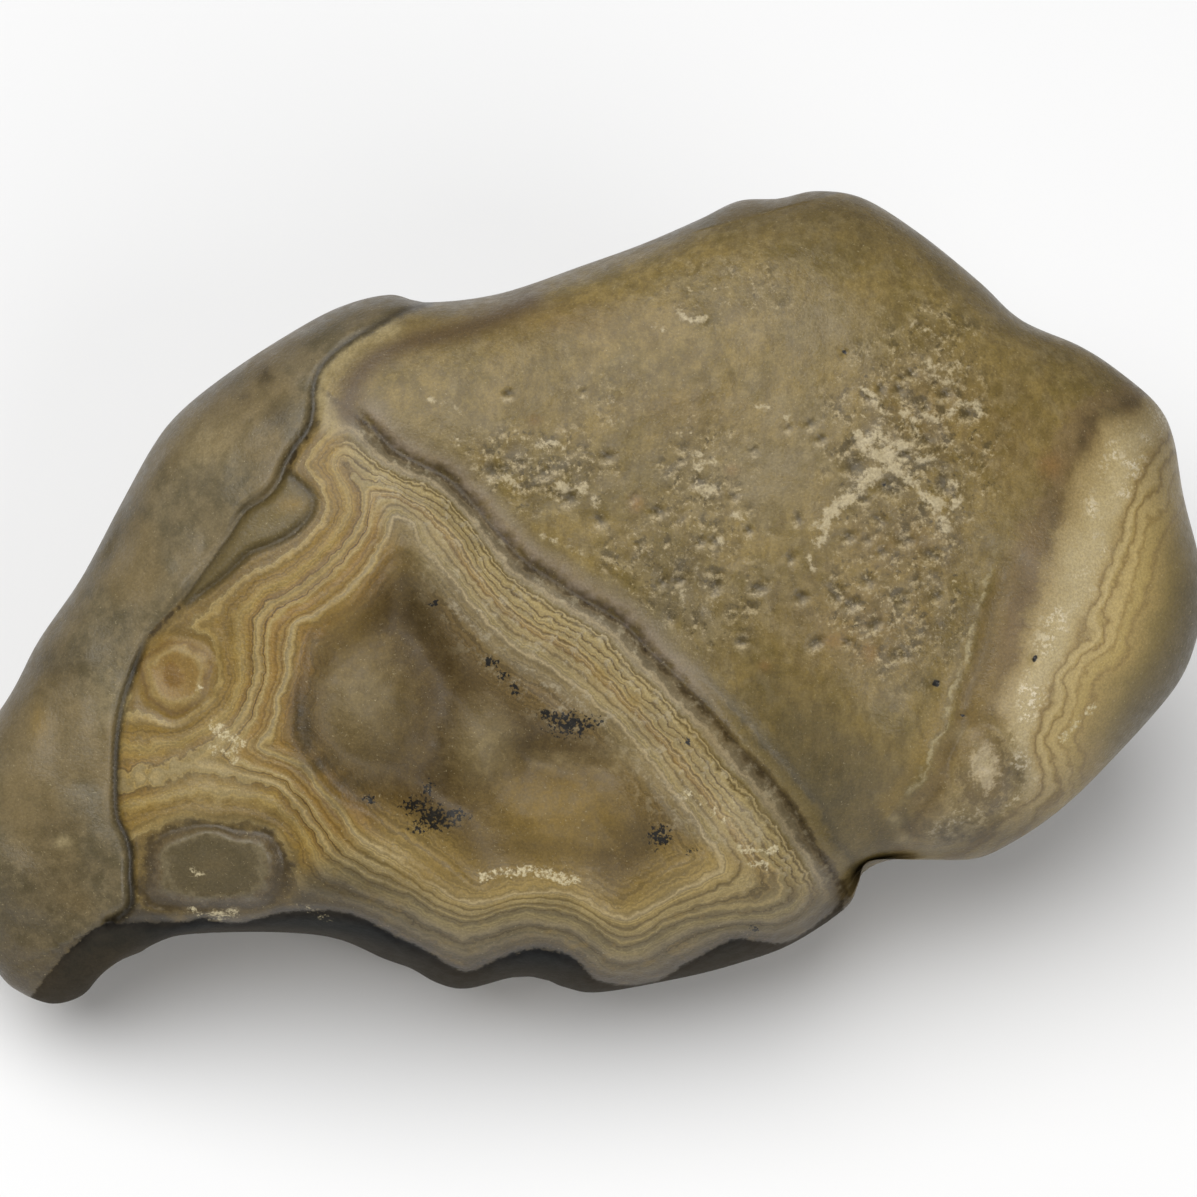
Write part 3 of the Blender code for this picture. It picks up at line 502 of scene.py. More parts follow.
def hollow_filling(flat):
    """The height of the lumps in the hollow, over its floor."""
    filling = np.zeros(len(flat))
    for middle, half_width, half_height, rise in HOLLOW_LUMPS:
        filling += (rise * mound(flat, np.array(middle), half_width, half_height)) ** 4
    return filling**0.25


def uneven(flat):
    """The layout places, shifted a little here and there, so that round shapes on them come out uneven."""
    solid = np.column_stack([flat, np.zeros(len(flat))])
    return flat + np.column_stack([lumps(solid, 2.4, 21), lumps(solid, 2.4, 22)]) * 0.45


def eye_relief(flat):
    """The low round eyes: a worn ring, a flat-topped button and a rough one."""
    flat = uneven(flat)
    middle, half_width, half_height, rise = LEFT_EYE
    off = oval(flat, middle, half_width, half_height)
    relief = rise * (np.exp(-(((off - 0.85) / 0.22) ** 2)) + 0.5 * np.exp(-((off / 0.5) ** 2)))
    relief = relief - 0.8 * rise * np.exp(-(((off - 1.35) / 0.18) ** 2))
    middle, half_width, half_height, rise = LOW_EYE
    off = oval(flat, middle, half_width, half_height, 2.8)
    relief += rise * (1 - ramp(off, 0.8, 1.15)) + 0.12 * np.exp(-(((off - 0.9) / 0.09) ** 2))
    relief -= 0.5 * rise * np.exp(-(((off - 1.16) / 0.10) ** 2))
    middle, half_width, half_height, rise = RIGHT_EYE
    off = oval(flat, middle, half_width, half_height)
    return relief + rise * (1 - ramp(off, 0.5, 1.1)) - 0.6 * rise * np.exp(-(((off - 1.2) / 0.2) ** 2))


def show_face_relief(flat, into_hollow):
    """How far the show face stands out of, or sinks into, the smooth mass."""
    gap, share, side = line_distance(flat, smooth_line(SEAM))
    depth = SEAM_DEPTH_HIGH + (SEAM_DEPTH_LOW - SEAM_DEPTH_HIGH) * ramp(share, 0.45, 1.0)
    spread = np.where(side > 0, 2.4 + 3.2 * share, 1.6 + 1.6 * share)
    relief = -depth * np.exp(-((gap / spread) ** 2)) * ramp(share, -0.02, 0.08)

    steep = ramp(-flat[:, 0], 2, 20)
    depth = HOLLOW_DEPTH_RIGHT + (HOLLOW_DEPTH_LEFT - HOLLOW_DEPTH_RIGHT) * steep
    relief -= depth * ramp(into_hollow, -0.8, 3.4 - 0.8 * steep)
    relief += hollow_filling(flat) * ramp(into_hollow, -0.4, 2.6)

    gap, share = line_offset(flat, CREST_LINE)
    relief -= ramp(share, 0.0, 0.15) * 0.8 * np.exp(-((gap / 3.2) ** 2))
    return relief + eye_relief(flat)


def fine_relief(flat, solid, fields):
    """The smaller features that the solid is too coarse for: cracks, crests, pits, dimples and crusts."""
    relief = fields["crest_on"] * 0.14 * np.exp(-((fields["crest_gap"] / 0.4) ** 2))
    relief -= fields["crest_on"] * 0.22 * np.exp(-(((fields["crest_gap"] - 1.3) / 0.7) ** 2))

    # The rind has soft dimples, and a crack is cut in sharply beside it.
    rind_gap = fields["rind_gap"]
    rind = ramp(-rind_gap, 0.0, 1.0)
    relief += rind * (0.50 * lumps(solid, 4.6, 13) + 0.20 * lumps(solid, 2.2, 14))
    strength = 0.35 + 0.45 * np.exp(-(((flat[:, 1] - 14) / 6) ** 2)) + 0.5 * ramp(-flat[:, 1], 2, 8)
    relief -= strength * np.exp(-((rind_gap / 0.42) ** 2)) * ramp(-flat[:, 0], 13, 17)
    relief -= 0.4 * np.exp(-((fields["button"] / 0.35) ** 2)) * ramp(rind_gap, 0.4, 1.0)
    # The seam's dark line is a narrow cleft beside the banded face.
    relief -= 0.50 * np.exp(-(((fields["seam_gap"] - 0.1) / 0.42) ** 2)) * ramp(fields["seam_share"], 0.03, 0.10)
    relief -= 0.35 * np.exp(-((fields["foot_gap"] / 0.35) ** 2)) * (fields["foot_share"] < 1)
    # Bands stand a little proud of each other, as their hardness differs.
    banded = ramp(-fields["seam_gap"], 0.3, 1.2) * ramp(rind_gap, 0.3, 1.2) * ramp(-fields["into_hollow"], -0.5, 1.0)
    relief += banded * 0.05 * np.sin(fields["band"] * 38 + lumps(solid, 6.0, 15))
    # Small botryoidal bumps cover the lining of the hollow.
    lined = ramp(fields["into_hollow"], 0.0, 2.0)
    relief += lined * (0.22 * lumps(solid, 2.6, 16) + 0.10 * lumps(solid, 1.1, 17))

    # The skin's pits are roughly oval and 0.3 mm deep, and stand in a rougher crust where they crowd together.
    skin = fields["skin"]
    crowd = fields["crowd"]
    relief += skin * (0.05 + 0.18 * crowd) * (lumps(solid, 1.9, 11) + 0.7 * lumps(solid, 1.0, 12))
    relief += skin * (0.08 * fields["frost_and_sheen"] - 0.30 * fields["pit"])
    rough_eye = np.exp(-((oval(flat, *RIGHT_EYE[:3]) / 0.8) ** 4))
    relief += rough_eye * 0.22 * lumps(solid, 0.9, 19)
    for middle, radius in PINHOLES:
        relief -= 0.5 * np.exp(-((np.hypot(*(flat - middle).T) / radius) ** 2))
    return relief


def pits_field(flat):
    """How deep in one of the skin's named pits each point is, from 0 to 1."""
    spots = uneven(flat)
    field = np.zeros(len(flat))
    for middle, half_width, half_height in PITS:
        field = np.maximum(field, 1 - ramp(oval(spots, middle, half_width, half_height), 0.3, 1.3))
    return field


def streaks_field(flat, streaks):
    """How thickly pale crust covers each point, from 0 to 1: streaks hold points, half width and strength."""
    field = np.zeros(len(flat))
    for points, half_width, strength in streaks:
        gap, _, _ = line_distance(flat, smooth_line(points))
        field = np.maximum(field, strength * np.exp(-((gap / (1.3 * half_width)) ** 2)))
    return field


def band_place(flat):
    """Where each point lies in the banding: 0 at the wall it grew from, 0.5 on the middle band, 1 on the inner one."""
    walls = [line_distance(flat, smooth_line(line))[0] for line in (BAND_EDGE, RIND_WALL, FOOT[4:])]
    low_eye = (oval(uneven(flat), *LOW_EYE[:3], 2.8) - 1) * 3.6
    left_eye = (oval(uneven(flat), *LEFT_EYE[:3]) - 1) * 2.4
    wall_gap = np.minimum.reduce([*walls, np.abs(low_eye), np.abs(left_eye)])
    middle_depth = ring_depth(flat, MIDDLE_BAND)
    inner_depth = ring_depth(flat, INNER_BAND)
    outer = 0.5 * wall_gap / (wall_gap + np.abs(middle_depth) + 1e-6)
    between = 0.5 + 0.5 * np.abs(middle_depth) / (np.abs(middle_depth) + np.abs(inner_depth) + 1e-6)
    place = np.where(middle_depth < 0, outer, between)
    place = np.where(inner_depth > 0, 1 + inner_depth / 8, place)
    gold = np.minimum.reduce([walls[1], low_eye + 1, left_eye + 1])
    near = np.exp(-np.stack([walls[0], gold, walls[2]]) / 2.2)
    near /= near.sum(axis=0)
    return place, near[0], near[2]


def shoulder_place(flat, cream_gap):
    """Where each point lies across the shoulder's bands: 0 on their edge, 1 on the ochre line, more outside it."""
    ochre_gap, _ = line_offset(flat, OCHRE_LINE)
    between = np.abs(cream_gap) / (np.abs(cream_gap) + np.abs(ochre_gap) + 1e-6)
    return np.where(ochre_gap < 0, between, 1 + ochre_gap / 6)


def face_fields(flat, forward, out):
    """The smooth fields over the show face that its relief and its material share."""
    seam_gap, seam_share = line_offset(flat, BAND_EDGE)
    rind_gap, _ = line_offset(flat, RIND_EDGE)
    foot_gap, foot_share = line_offset(flat, FOOT)
    crest_gap, crest_share = line_offset(flat, CREST_LINE)
    cream_gap, _ = line_offset(flat, CREAM_EDGE)
    band, near_seam, near_foot = band_place(flat)
    # Right of the foot line's end the lower edge is skin again.
    foot_gap = np.where(flat[:, 0] > 19.7, np.maximum(foot_gap, 2.0), foot_gap)
    pit = pits_field(flat)
    tan_gap, _, _ = line_distance(flat, smooth_line(TAN_STRIPE))
    brown_gap, _, _ = line_distance(flat, smooth_line(BROWN_STRIPE))
    facing = ramp(forward, 0.02, 0.30)
    return {
        "band": band,
        "near_seam": near_seam,
        "near_foot": near_foot,
        "seam_gap": seam_gap,
        "seam_share": seam_share,
        "rind_gap": rind_gap,
        "button": ring_depth(flat, BUTTON),
        "foot_gap": foot_gap,
        "foot_share": foot_share,
        "into_hollow": soft_depth(flat, HOLLOW),
        "filling": hollow_filling(flat),
        "crest_gap": crest_gap,
        "crest_on": ramp(crest_share, 0.0, 0.22) * ramp(-crest_share, -1.0, -0.93),
        "cream_gap": cream_gap,
        "shoulder": shoulder_place(flat, cream_gap),
        "skin": ramp(seam_gap, 0.5, 2.5) * ramp(rind_gap, 0.8, 2.5) * ramp(-cream_gap, 1.0, 5.0) * facing,
        "crowd": spots_field(flat, PIT_CROWDS),
        "pit": pit,
        # Painted highlight on the lower lip of each named pit
        "lip": np.clip(pits_field(flat + (0.05, 0.45)) - pit, 0, 1),
        "frost_and_sheen": streaks_field(flat, FROST_AND_SHEEN),
        "glints": streaks_field(flat, GLINTS),
        **{name: spots_field(flat, spots) for name, spots in TINTS.items()},
        "tan": np.exp(-((tan_gap / 0.85) ** 2)),
        "brown": np.exp(-((brown_gap / 1.1) ** 2)),
        "left_eye": oval(uneven(flat), *LEFT_EYE[:3]),
        "low_eye": oval(uneven(flat), *LOW_EYE[:3], 2.8),
        "right_eye": oval(uneven(flat), *RIGHT_EYE[:3]),
        "pinhole": np.max([np.exp(-((np.hypot(*(flat - m).T) / r) ** 4)) for m, r in PINHOLES], axis=0),
        "facing": ramp(forward, -0.25, 0.12),
        # Painted shade: the show face's outer tenth, where it turns away from the light, is marked for darkening
        "rim": np.where(forward > 0, ramp(out, 0.90, 1.0), 1.0),
    }


def lean_back(flat, w):
    """Turns the face-on layout into places in the world, in metres: the face leans back and the flat is at z 0."""
    lean = math.radians(LEAN)
    spread = (1 - w * NARROWING)[:, None]
    x, v = (flat * spread).T
    y = v * math.sin(lean) - w * math.cos(lean)
    z = v * math.cos(lean) + w * math.sin(lean) + WIDEST_ABOVE_FLAT
    return np.stack([x, y, z], axis=1) / 1000


def stone_shape(directions, fine=True):
    """Places of the stone's points in metres, their layout places and the fields that its material reads."""
    flat, w, forward = body(directions)
    solid = np.column_stack([flat, w])
    facing = ramp(forward, 0.02, 0.30)
    fields = {}
    relief = 0.8 * lumps(solid, 23.0, 1) + 0.35 * lumps(solid, 9.0, 2)
    if fine:
        fields = face_fields(flat, forward, np.hypot(directions[:, 0], directions[:, 1]))
        relief += show_face_relief(flat, fields["into_hollow"]) + fine_relief(flat, solid, fields)
    w = w + facing * relief
    behind = ramp(-forward, 0.05, 0.5)
    swell = LUMP_HEIGHT * (lumps(solid, 19.0, 3) + 0.45 * lumps(solid, 8.0, 4))
    w = w - behind * (swell + 0.15 * lumps(solid, 2.6, 18))
    wide = flat * (1 + behind * swell / HALF_LENGTH)[:, None]
    spots = lean_back(wide, w)
    spots[:, 2] = np.maximum(spots[:, 2], 0)
    return spots, solid, fields


def add(tree, kind, links=(), **settings):
    """Adds a node with its settings, and gives its inputs links or values. Returns its first output in use."""
    node = tree.nodes.new(kind)
    for name, value in settings.items():
        setattr(node, name, value)
    for key, value in dict(links).items():
        if isinstance(key, int):
            socket = node.inputs[key]
        else:
            socket = next(s for s in node.inputs if s.enabled and s.name == key)
        if isinstance(value, bpy.types.NodeSocket):
            tree.links.new(value, socket)
        else:
            socket.default_value = value
    return next((s for s in node.outputs if s.enabled), None)


def set_stops(output, stops):
    """Gives a colour ramp its stops: (place, hex colour)."""
    ramp_stops = output.node.color_ramp
    while len(ramp_stops.elements) > 1:
        ramp_stops.elements.remove(ramp_stops.elements[-1])
    ramp_stops.elements[0].position = stops[0][0]
    ramp_stops.elements[0].color = linear(stops[0][1])
    for place, color in stops[1:]:
        ramp_stops.elements.new(place).color = linear(color)


# Colours across the banding, from the wall it grew from (0) over the middle band (0.4) and the inner band (0.8)
# to the clear amber around the hollow (1)
GOLD_BANDS = [
    (0.000, "#47381b"), (0.012, "#5f4e29"), (0.05, "#705c31"), (0.095, "#745e31"), (0.112, "#927f50"),
    (0.135, "#8a7544"), (0.18, "#7c632a"), (0.215, "#6b5422"), (0.25, "#81682f"), (0.30, "#8b7641"),
    (0.345, "#81682f"), (0.383, "#785c26"), (0.397, "#443210"), (0.410, "#8a7440"), (0.43, "#917e50"),
    (0.48, "#897342"), (0.507, "#7a612d"), (0.520, "#4e3916"), (0.532, "#866d38"), (0.56, "#917e4e"),
    (0.60, "#7f652f"), (0.66, "#785b22"), (0.70, "#846b36"), (0.722, "#5d4519"), (0.738, "#836a34"),
    (0.78, "#94835a"), (0.81, "#8b7746"), (0.84, "#7a6028"), (0.92, "#735725"), (1.000, "#665026"),
]
STRIP_BANDS = [
    (0.000, "#372c1c"), (0.02, "#483c27"), (0.05, "#655840"), (0.09, "#6d6148"), (0.13, "#887a5e"),
    (0.165, "#8e7f60"), (0.19, "#6e603b"), (0.205, "#57461b"), (0.225, "#928157"), (0.25, "#5b4920"),
    (0.27, "#948356"), (0.31, "#887649"), (0.328, "#56431c"), (0.35, "#938254"), (0.385, "#8e7a49"),
    (0.400, "#473511"), (0.418, "#968556"), (0.455, "#8e7a4c"), (0.475, "#5e491e"), (0.50, "#917d52"),
    (0.54, "#806837"), (0.56, "#5f4920"), (0.59, "#928156"), (0.63, "#847249"), (0.66, "#6c5a31"),
    (0.70, "#8c7c54"), (0.76, "#807046"), (0.80, "#8f7f5c"), (0.83, "#786845"), (0.90, "#6e5f3d"),
    (1.000, "#63512e"),
]
FOOT_BANDS = [
    (0.000, "#332d22"), (0.03, "#473e2e"), (0.10, "#5e5239"), (0.17, "#6b5f42"), (0.22, "#4e4228"),
    (0.27, "#75684a"), (0.34, "#7d6f4a"), (0.385, "#6b5d39"), (0.40, "#463819"), (0.42, "#7c6d47"),
    (0.48, "#85754d"), (0.52, "#625128"), (0.56, "#86754b"), (0.62, "#918054"), (0.66, "#6e5b2d"),
    (0.70, "#8b7849"), (0.76, "#948152"), (0.80, "#9c8a61"), (0.84, "#887444"), (1.000, "#7a6534"),
]
# Colours from the seam's dark line out into the skin, over 3 mm: in its upper part and by the notch
SEAM_SIDE_HIGH = [
    (0.00, "#392e1b"), (0.10, "#43372a"), (0.20, "#6a5d4c"), (0.32, "#7c6e5b"), (0.50, "#776a52"),
    (0.70, "#6e6146"), (1.00, "#766844"),
]
SEAM_SIDE_LOW = [
    (0.00, "#3a2f1b"), (0.08, "#4b3e25"), (0.15, "#6d5e3a"), (0.30, "#6b5d39"), (0.46, "#5f5232"),
    (0.56, "#494029"), (0.68, "#463d27"), (0.85, "#524930"), (1.00, "#574d32"),
]
# Colours across the shoulder: the cream bands' edge (0), the ochre line (0.4) and the smooth outer side
SHOULDER_BANDS = [
    (0.000, "#64522f"), (0.04, "#7b6840"), (0.10, "#8f7c52"), (0.16, "#9a885e"), (0.24, "#a6956c"),
    (0.31, "#a6956d"), (0.36, "#9f8c5f"), (0.385, "#937e50"), (0.402, "#79643a"), (0.42, "#a08c5c"),
    (0.445, "#ab9767"), (0.465, "#98834f"), (0.478, "#7f693c"), (0.495, "#a18c5a"), (0.53, "#a8935f"),
    (0.552, "#8d7745"), (0.57, "#a08b56"), (0.60, "#9d8852"), (0.63, "#867144"), (0.65, "#978250"),
    (0.75, "#817043"), (0.90, "#625635"), (1.000, "#52482d"),
]
# Colours of the round eyes, by their normalised radius up to 1.6
LEFT_EYE_RINGS = [
    (0.00, "#6d5222"), (0.20, "#735726"), (0.30, "#7e6431"), (0.42, "#7f6534"), (0.54, "#8a7545"),
    (0.62, "#7f6735"), (0.70, "#6b5223"), (0.78, "#796029"), (1.00, "#7f672f"),
]
LOW_EYE_RINGS = [
    (0.00, "#5c5036"), (0.35, "#50462e"), (0.48, "#574c33"), (0.545, "#695e44"), (0.58, "#60543b"),
    (0.62, "#594a2e"), (0.70, "#42351c"), (0.76, "#4c3e22"), (0.82, "#6b5a33"), (1.00, "#786639"),
]
RIGHT_EYE_RINGS = [
    (0.00, "#a6977a"), (0.25, "#a19171"), (0.42, "#6c5a35"), (0.55, "#675734"), (0.68, "#87754e"),
    (0.78, "#7d6c42"), (1.00, "#7d6c43"),
]


def stone_material(settings):
    """Agate: chalcedony grown in bands, worn smooth and waxy, under a dull pitted skin.

    The bands are translucent gold, cream and olive layers about 1 mm thick, the skin is a mottled olive brown, and
    the whole has the soft shine of a waxy, worn stone.
    """
    material = bpy.data.materials.new("chalcedony_banded_worn_smooth")
    material.use_nodes = True
    tree = material.node_tree
    tree.nodes.clear()
    place = add(tree, "ShaderNodeAttribute", attribute_name="layout").node.outputs["Vector"]

    def field(name):
        return add(tree, "ShaderNodeAttribute", attribute_name=name).node.outputs["Fac"]

    def noise(per_mm, detail=3.0, roughness=0.55, where=place):
        links = {"Vector": where, "Scale": per_mm, "Detail": detail, "Roughness": roughness}
        return add(tree, "ShaderNodeTexNoise", links)

    def calc(operation, a, b=0.0):
        return add(tree, "ShaderNodeMath", {0: a, 1: b}, operation=operation)

    def wander(source, reach):
        """A value that swings by up to about half its reach each way."""
        return calc("MULTIPLY", calc("SUBTRACT", source, 0.5), reach)

    def step(value, low, high, to_low=0.0, to_high=1.0):
        links = {"Value": value, "From Min": low, "From Max": high, "To Min": to_low, "To Max": to_high}
        return add(tree, "ShaderNodeMapRange", links, interpolation_type="SMOOTHSTEP")

    def mix(amount, a, b):
        a, b = (linear(c) if isinstance(c, str) else c for c in (a, b))
        return add(tree, "ShaderNodeMix", {"Factor": amount, "A": a, "B": b}, data_type="RGBA")

    def stops(value, colors):
        found = add(tree, "ShaderNodeValToRGB", {"Fac": value})
        set_stops(found, colors)
        return found

    slow = noise(0.10, 2.0)
    broad = noise(0.32, 3.0)
    ripple = noise(0.55, 2.0)
    mottle = noise(1.1, 4.0, 0.6)
    grain = noise(3.6, 3.0, 0.65)
    edge_wander = calc("ADD", wander(mottle, 1.0), wander(grain, 0.6))
    height = add(tree, "ShaderNodeSeparateXYZ", {0: place}).node.outputs["Y"]

    # Growth lines waver by a quarter of a mm, break off here and there, and fray in the loose layers near the seam.
    loose = step(field("near_seam"), 0.2, 0.8, 0.6, 1.0)
    fray = calc("MULTIPLY", calc("ADD", wander(mottle, 0.09), wander(grain, 0.04)), loose)
    shift = calc("ADD", wander(ripple, 0.13), fray)
    banding = calc("MULTIPLY", calc("ADD", field("band"), shift), 0.8)
    bands = mix(step(field("near_seam"), 0.3, 0.7), stops(banding, GOLD_BANDS), stops(banding, STRIP_BANDS))
    bands = mix(step(field("near_foot"), 0.25, 0.7), bands, stops(banding, FOOT_BANDS))
    plain = mix(field("near_seam"), "#7d6735", "#83765a")
    bands = mix(step(noise(0.7, 3.0), 0.54, 0.72, 0.0, 0.4), bands, plain)
    # Fine growth lines, a few tenths of a mm apart, show faintly inside each band.
    line_links = {"W": calc("MULTIPLY", banding, 34.0), "Scale": 1.0, "Detail": 2.0}
    fine = add(tree, "ShaderNodeTexNoise", line_links, noise_dimensions="1D")
    fine_lines = step(calc("ADD", fine, wander(broad, 0.5)), 0.36, 0.62, 0.76, 1.12)
    bands = add(tree, "ShaderNodeVectorMath", {0: bands, "Scale": fine_lines}, operation="SCALE")
    cloud = step(calc("ADD", mottle, wander(grain, 0.4)), 0.52, 0.70, 0.0, 0.45)
    bands = mix(calc("MULTIPLY", cloud, field("near_seam")), bands, "#a0957a")

    eye_wander = calc("ADD", wander(mottle, 0.5), wander(broad, 0.4))
    left_eye = calc("MULTIPLY", calc("ADD", field("left_eye"), eye_wander), 1 / 1.6)
    bands = mix(step(left_eye, 1.0, 0.7), bands, stops(left_eye, LEFT_EYE_RINGS))
    low_eye = calc("MULTIPLY", calc("ADD", field("low_eye"), eye_wander), 1 / 1.6)
    bands = mix(step(low_eye, 0.90, 0.72), bands, stops(low_eye, LOW_EYE_RINGS))

    # The hollow: olive and brown, and hardly darker in its depth than on its lumps; that slight darkening where the
    # lumps are low is painted shade
    lining = mix(step(field("filling"), 0.4, 2.6), "#4b3b1d", "#574723")
    lining = mix(step(mottle, 0.42, 0.66, 0.0, 0.45), lining, "#65532d")
    hollow = calc("ADD", field("into_hollow"), calc("MULTIPLY", edge_wander, 1.6))
    color = mix(step(hollow, -0.7, 1.9), bands, lining)

    # The skin: mottled olive brown with broad tints, soft dark pits with painted shade in them, and pale frosted
    # crests that are partly painted highlight
    skin = mix(step(broad, 0.38, 0.62), "#665629", "#7d6a3a")
    skin = mix(step(ripple, 0.52, 0.68, 0.0, 0.6), skin, "#7a6c4b")
    skin = mix(step(mottle, 0.42, 0.70, 0.0, 0.6), skin, "#867446")
    skin = mix(step(slow, 0.50, 0.66, 0.0, 0.3), skin, "#71613c")
    streaky = add(tree, "ShaderNodeVectorMath", {0: place, 1: (1.0, 0.42, 1.0)}, operation="MULTIPLY")
    streaks = step(noise(1.3, 4.0, 0.6, streaky), 0.34, 0.58, 0.6, 0.0)
    skin = mix(streaks, skin, "#5d4d28")
    patchy = step(mottle, 0.3, 0.7, 0.55, 1.0)
    skin = mix(calc("MULTIPLY", field("grey"), patchy), skin, "#7b6e51")
    skin = mix(calc("MULTIPLY", field("warm"), patchy), skin, "#735c33")
    skin = mix(calc("MULTIPLY", field("green"), patchy), skin, "#50462a")
    side = calc("ADD", field("seam_gap"), calc("ADD", calc("MULTIPLY", edge_wander, 0.5), wander(ripple, 1.4)))
    side = calc("MULTIPLY", side, 1 / 3)
    seam_side = mix(
        step(field("seam_share"), 0.62, 0.74), stops(side, SEAM_SIDE_HIGH), stops(side, SEAM_SIDE_LOW)
    )
    started = step(field("seam_share"), 0.03, 0.09)
    side_share = calc("MULTIPLY", step(side, 1.0, 0.45), step(mottle, 0.3, 0.7, 0.55, 1.0))
    skin = mix(calc("MULTIPLY", side_share, started), skin, seam_side)

    # Soft pits of 0.3 to 1 mm crowd together, and each one's lower lip, where the light catches its crumbly crust,
    # gets a painted highlight.
    crowd = calc("MULTIPLY", field("crowd"), field("skin"))

    def small_pits(where):
        coarse = step(calc("ADD", noise(0.7, 4.0, 0.6, where), calc("MULTIPLY", crowd, 0.10)), 0.56, 0.72)
        small = step(calc("ADD", noise(1.7, 3.0, 0.65, where), calc("MULTIPLY", crowd, 0.08)), 0.58, 0.74)
        return calc("MULTIPLY", calc("MAXIMUM", coarse, small), step(crowd, 0.0, 0.3))

    holes = small_pits(place)
    above = add(tree, "ShaderNodeVectorMath", {0: place, 1: (0.1, 0.45, 0.0)}, operation="ADD")
    lips = calc("MAXIMUM", calc("SUBTRACT", small_pits(above), holes), calc("MULTIPLY", field("lip"), field("skin")))
    pits = calc("MULTIPLY", field("pit"), field("skin"))
    blotches = step(calc("ADD", noise(0.5, 4.0, 0.65), calc("MULTIPLY", crowd, 0.10)), 0.50, 0.66)
    skin = mix(calc("MULTIPLY", calc("MULTIPLY", blotches, step(crowd, 0.0, 0.4)), 0.45), skin, "#57492a")
    # Painted shade in the pits: they are darker than the skin round them
    dark_pits = calc("MAXIMUM", calc("MULTIPLY", pits, 0.9), calc("MULTIPLY", holes, 0.8))
    skin = mix(dark_pits, skin, "#463b20")
    # Painted highlight on the pits' lower lips
    skin = mix(calc("MULTIPLY", lips, step(grain, 0.38, 0.58, 0.2, 1.0)), skin, "#a2926e")
    frost_and_sheen = calc("ADD", field("frost_and_sheen"), calc("ADD", wander(mottle, 3.0), wander(grain, 0.9)))
    frost_and_sheen_mask = calc("MULTIPLY", step(frost_and_sheen, 0.30, 0.95), step(field("frost_and_sheen"), 0.05, 0.45))
    frost_and_sheen_mask = calc("MULTIPLY", frost_and_sheen_mask, step(pits, 0.7, 0.2))
    frost_and_sheen_mask = calc("MULTIPLY", frost_and_sheen_mask, step(grain, 0.36, 0.60, 0.65, 0.95))
    # Painted highlight, partly pale crust, on the frosted crests
    skin = mix(frost_and_sheen_mask, skin, "#aa9c7b")
    # Pale crumbs of crust where the pits crowd, partly painted glints
    crumb_glints = step(calc("ADD", noise(1.9, 3.0, 0.7), calc("MULTIPLY", crowd, 0.05)), 0.60, 0.72)
    skin = mix(calc("MULTIPLY", calc("MULTIPLY", crumb_glints, step(crowd, 0.0, 0.4)), 0.55), skin, "#9a8b6a")
    seam_gap = calc("ADD", field("seam_gap"), calc("MULTIPLY", edge_wander, 0.35))
    color = mix(step(seam_gap, -0.15, 0.15), color, skin)

    # The shoulder: a brown zone beside the frosted crest, then cream and ochre bands round a rough eye
    crest_gap = calc("ADD", field("crest_gap"), calc("ADD", calc("MULTIPLY", edge_wander, 0.8), wander(ripple, 1.6)))
    crest_on = field("crest_on")
    brown_zone = calc("MULTIPLY", calc("MULTIPLY", step(crest_gap, 0.1, 0.7), step(crest_gap, 5.0, 3.0)), crest_on)
    color = mix(calc("MULTIPLY", brown_zone, 0.7), color, "#6d5931")
    # Painted shade in the groove beside the crest
    groove = calc("MULTIPLY", calc("MULTIPLY", step(crest_gap, 0.7, 1.2), step(crest_gap, 1.9, 1.3)), crest_on)
    color = mix(calc("MULTIPLY", groove, 0.35), color, "#4d3e21")
    amber = calc("MULTIPLY", step(crest_gap, -1.9, -1.0), step(crest_gap, -0.2, -0.7))
    color = mix(calc("MULTIPLY", calc("MULTIPLY", amber, step(height, -5.0, -9.0)), 0.6), color, "#7f6931")
    sway = calc("ADD", wander(noise(0.35, 3.0, 0.5), 0.5), wander(mottle, 0.10))
    across = calc("MULTIPLY", calc("ADD", field("shoulder"), sway), 0.4)
    shoulder = stops(across, SHOULDER_BANDS)
    whitish = calc("MULTIPLY", step(across, 0.08, 0.24), step(across, 0.42, 0.30))
    crust = calc("ADD", mottle, wander(grain, 1.2))
    flecks = calc("MULTIPLY", step(crust, 0.48, 0.66), step(broad, 0.44, 0.60, 0.1, 1.0))
    shoulder = mix(calc("MULTIPLY", whitish, flecks), shoulder, "#cabda0")
    right_eye = calc("ADD", field("right_eye"), calc("ADD", calc("MULTIPLY", eye_wander, 2.4), wander(grain, 0.8)))
    right_eye = calc("MULTIPLY", right_eye, 1 / 1.6)
    shoulder = mix(step(right_eye, 1.0, 0.7), shoulder, stops(right_eye, RIGHT_EYE_RINGS))
    cream_gap = calc("ADD", field("cream_gap"), calc("ADD", calc("MULTIPLY", edge_wander, 2.0), wander(broad, 4.0)))
    border = calc("MULTIPLY", step(cream_gap, -2.6, -0.7), step(cream_gap, 0.9, -0.3))
    color = mix(step(cream_gap, -1.2, 0.8), color, shoulder)
    color = mix(calc("MULTIPLY", calc("MULTIPLY", border, step(height, -8.0, -2.0)), 0.55), color, "#665238")
    ridge = calc("MULTIPLY", calc("MULTIPLY", step(crest_gap, -0.35, -0.05), step(crest_gap, 0.30, 0.05)), crest_on)
    color = mix(calc("MULTIPLY", ridge, step(mottle, 0.40, 0.60, 0.0, 0.75)), color, "#968964")
    color = mix(field("brown"), color, "#544327")
    color = mix(calc("MULTIPLY", field("tan"), patchy), color, "#97875f")

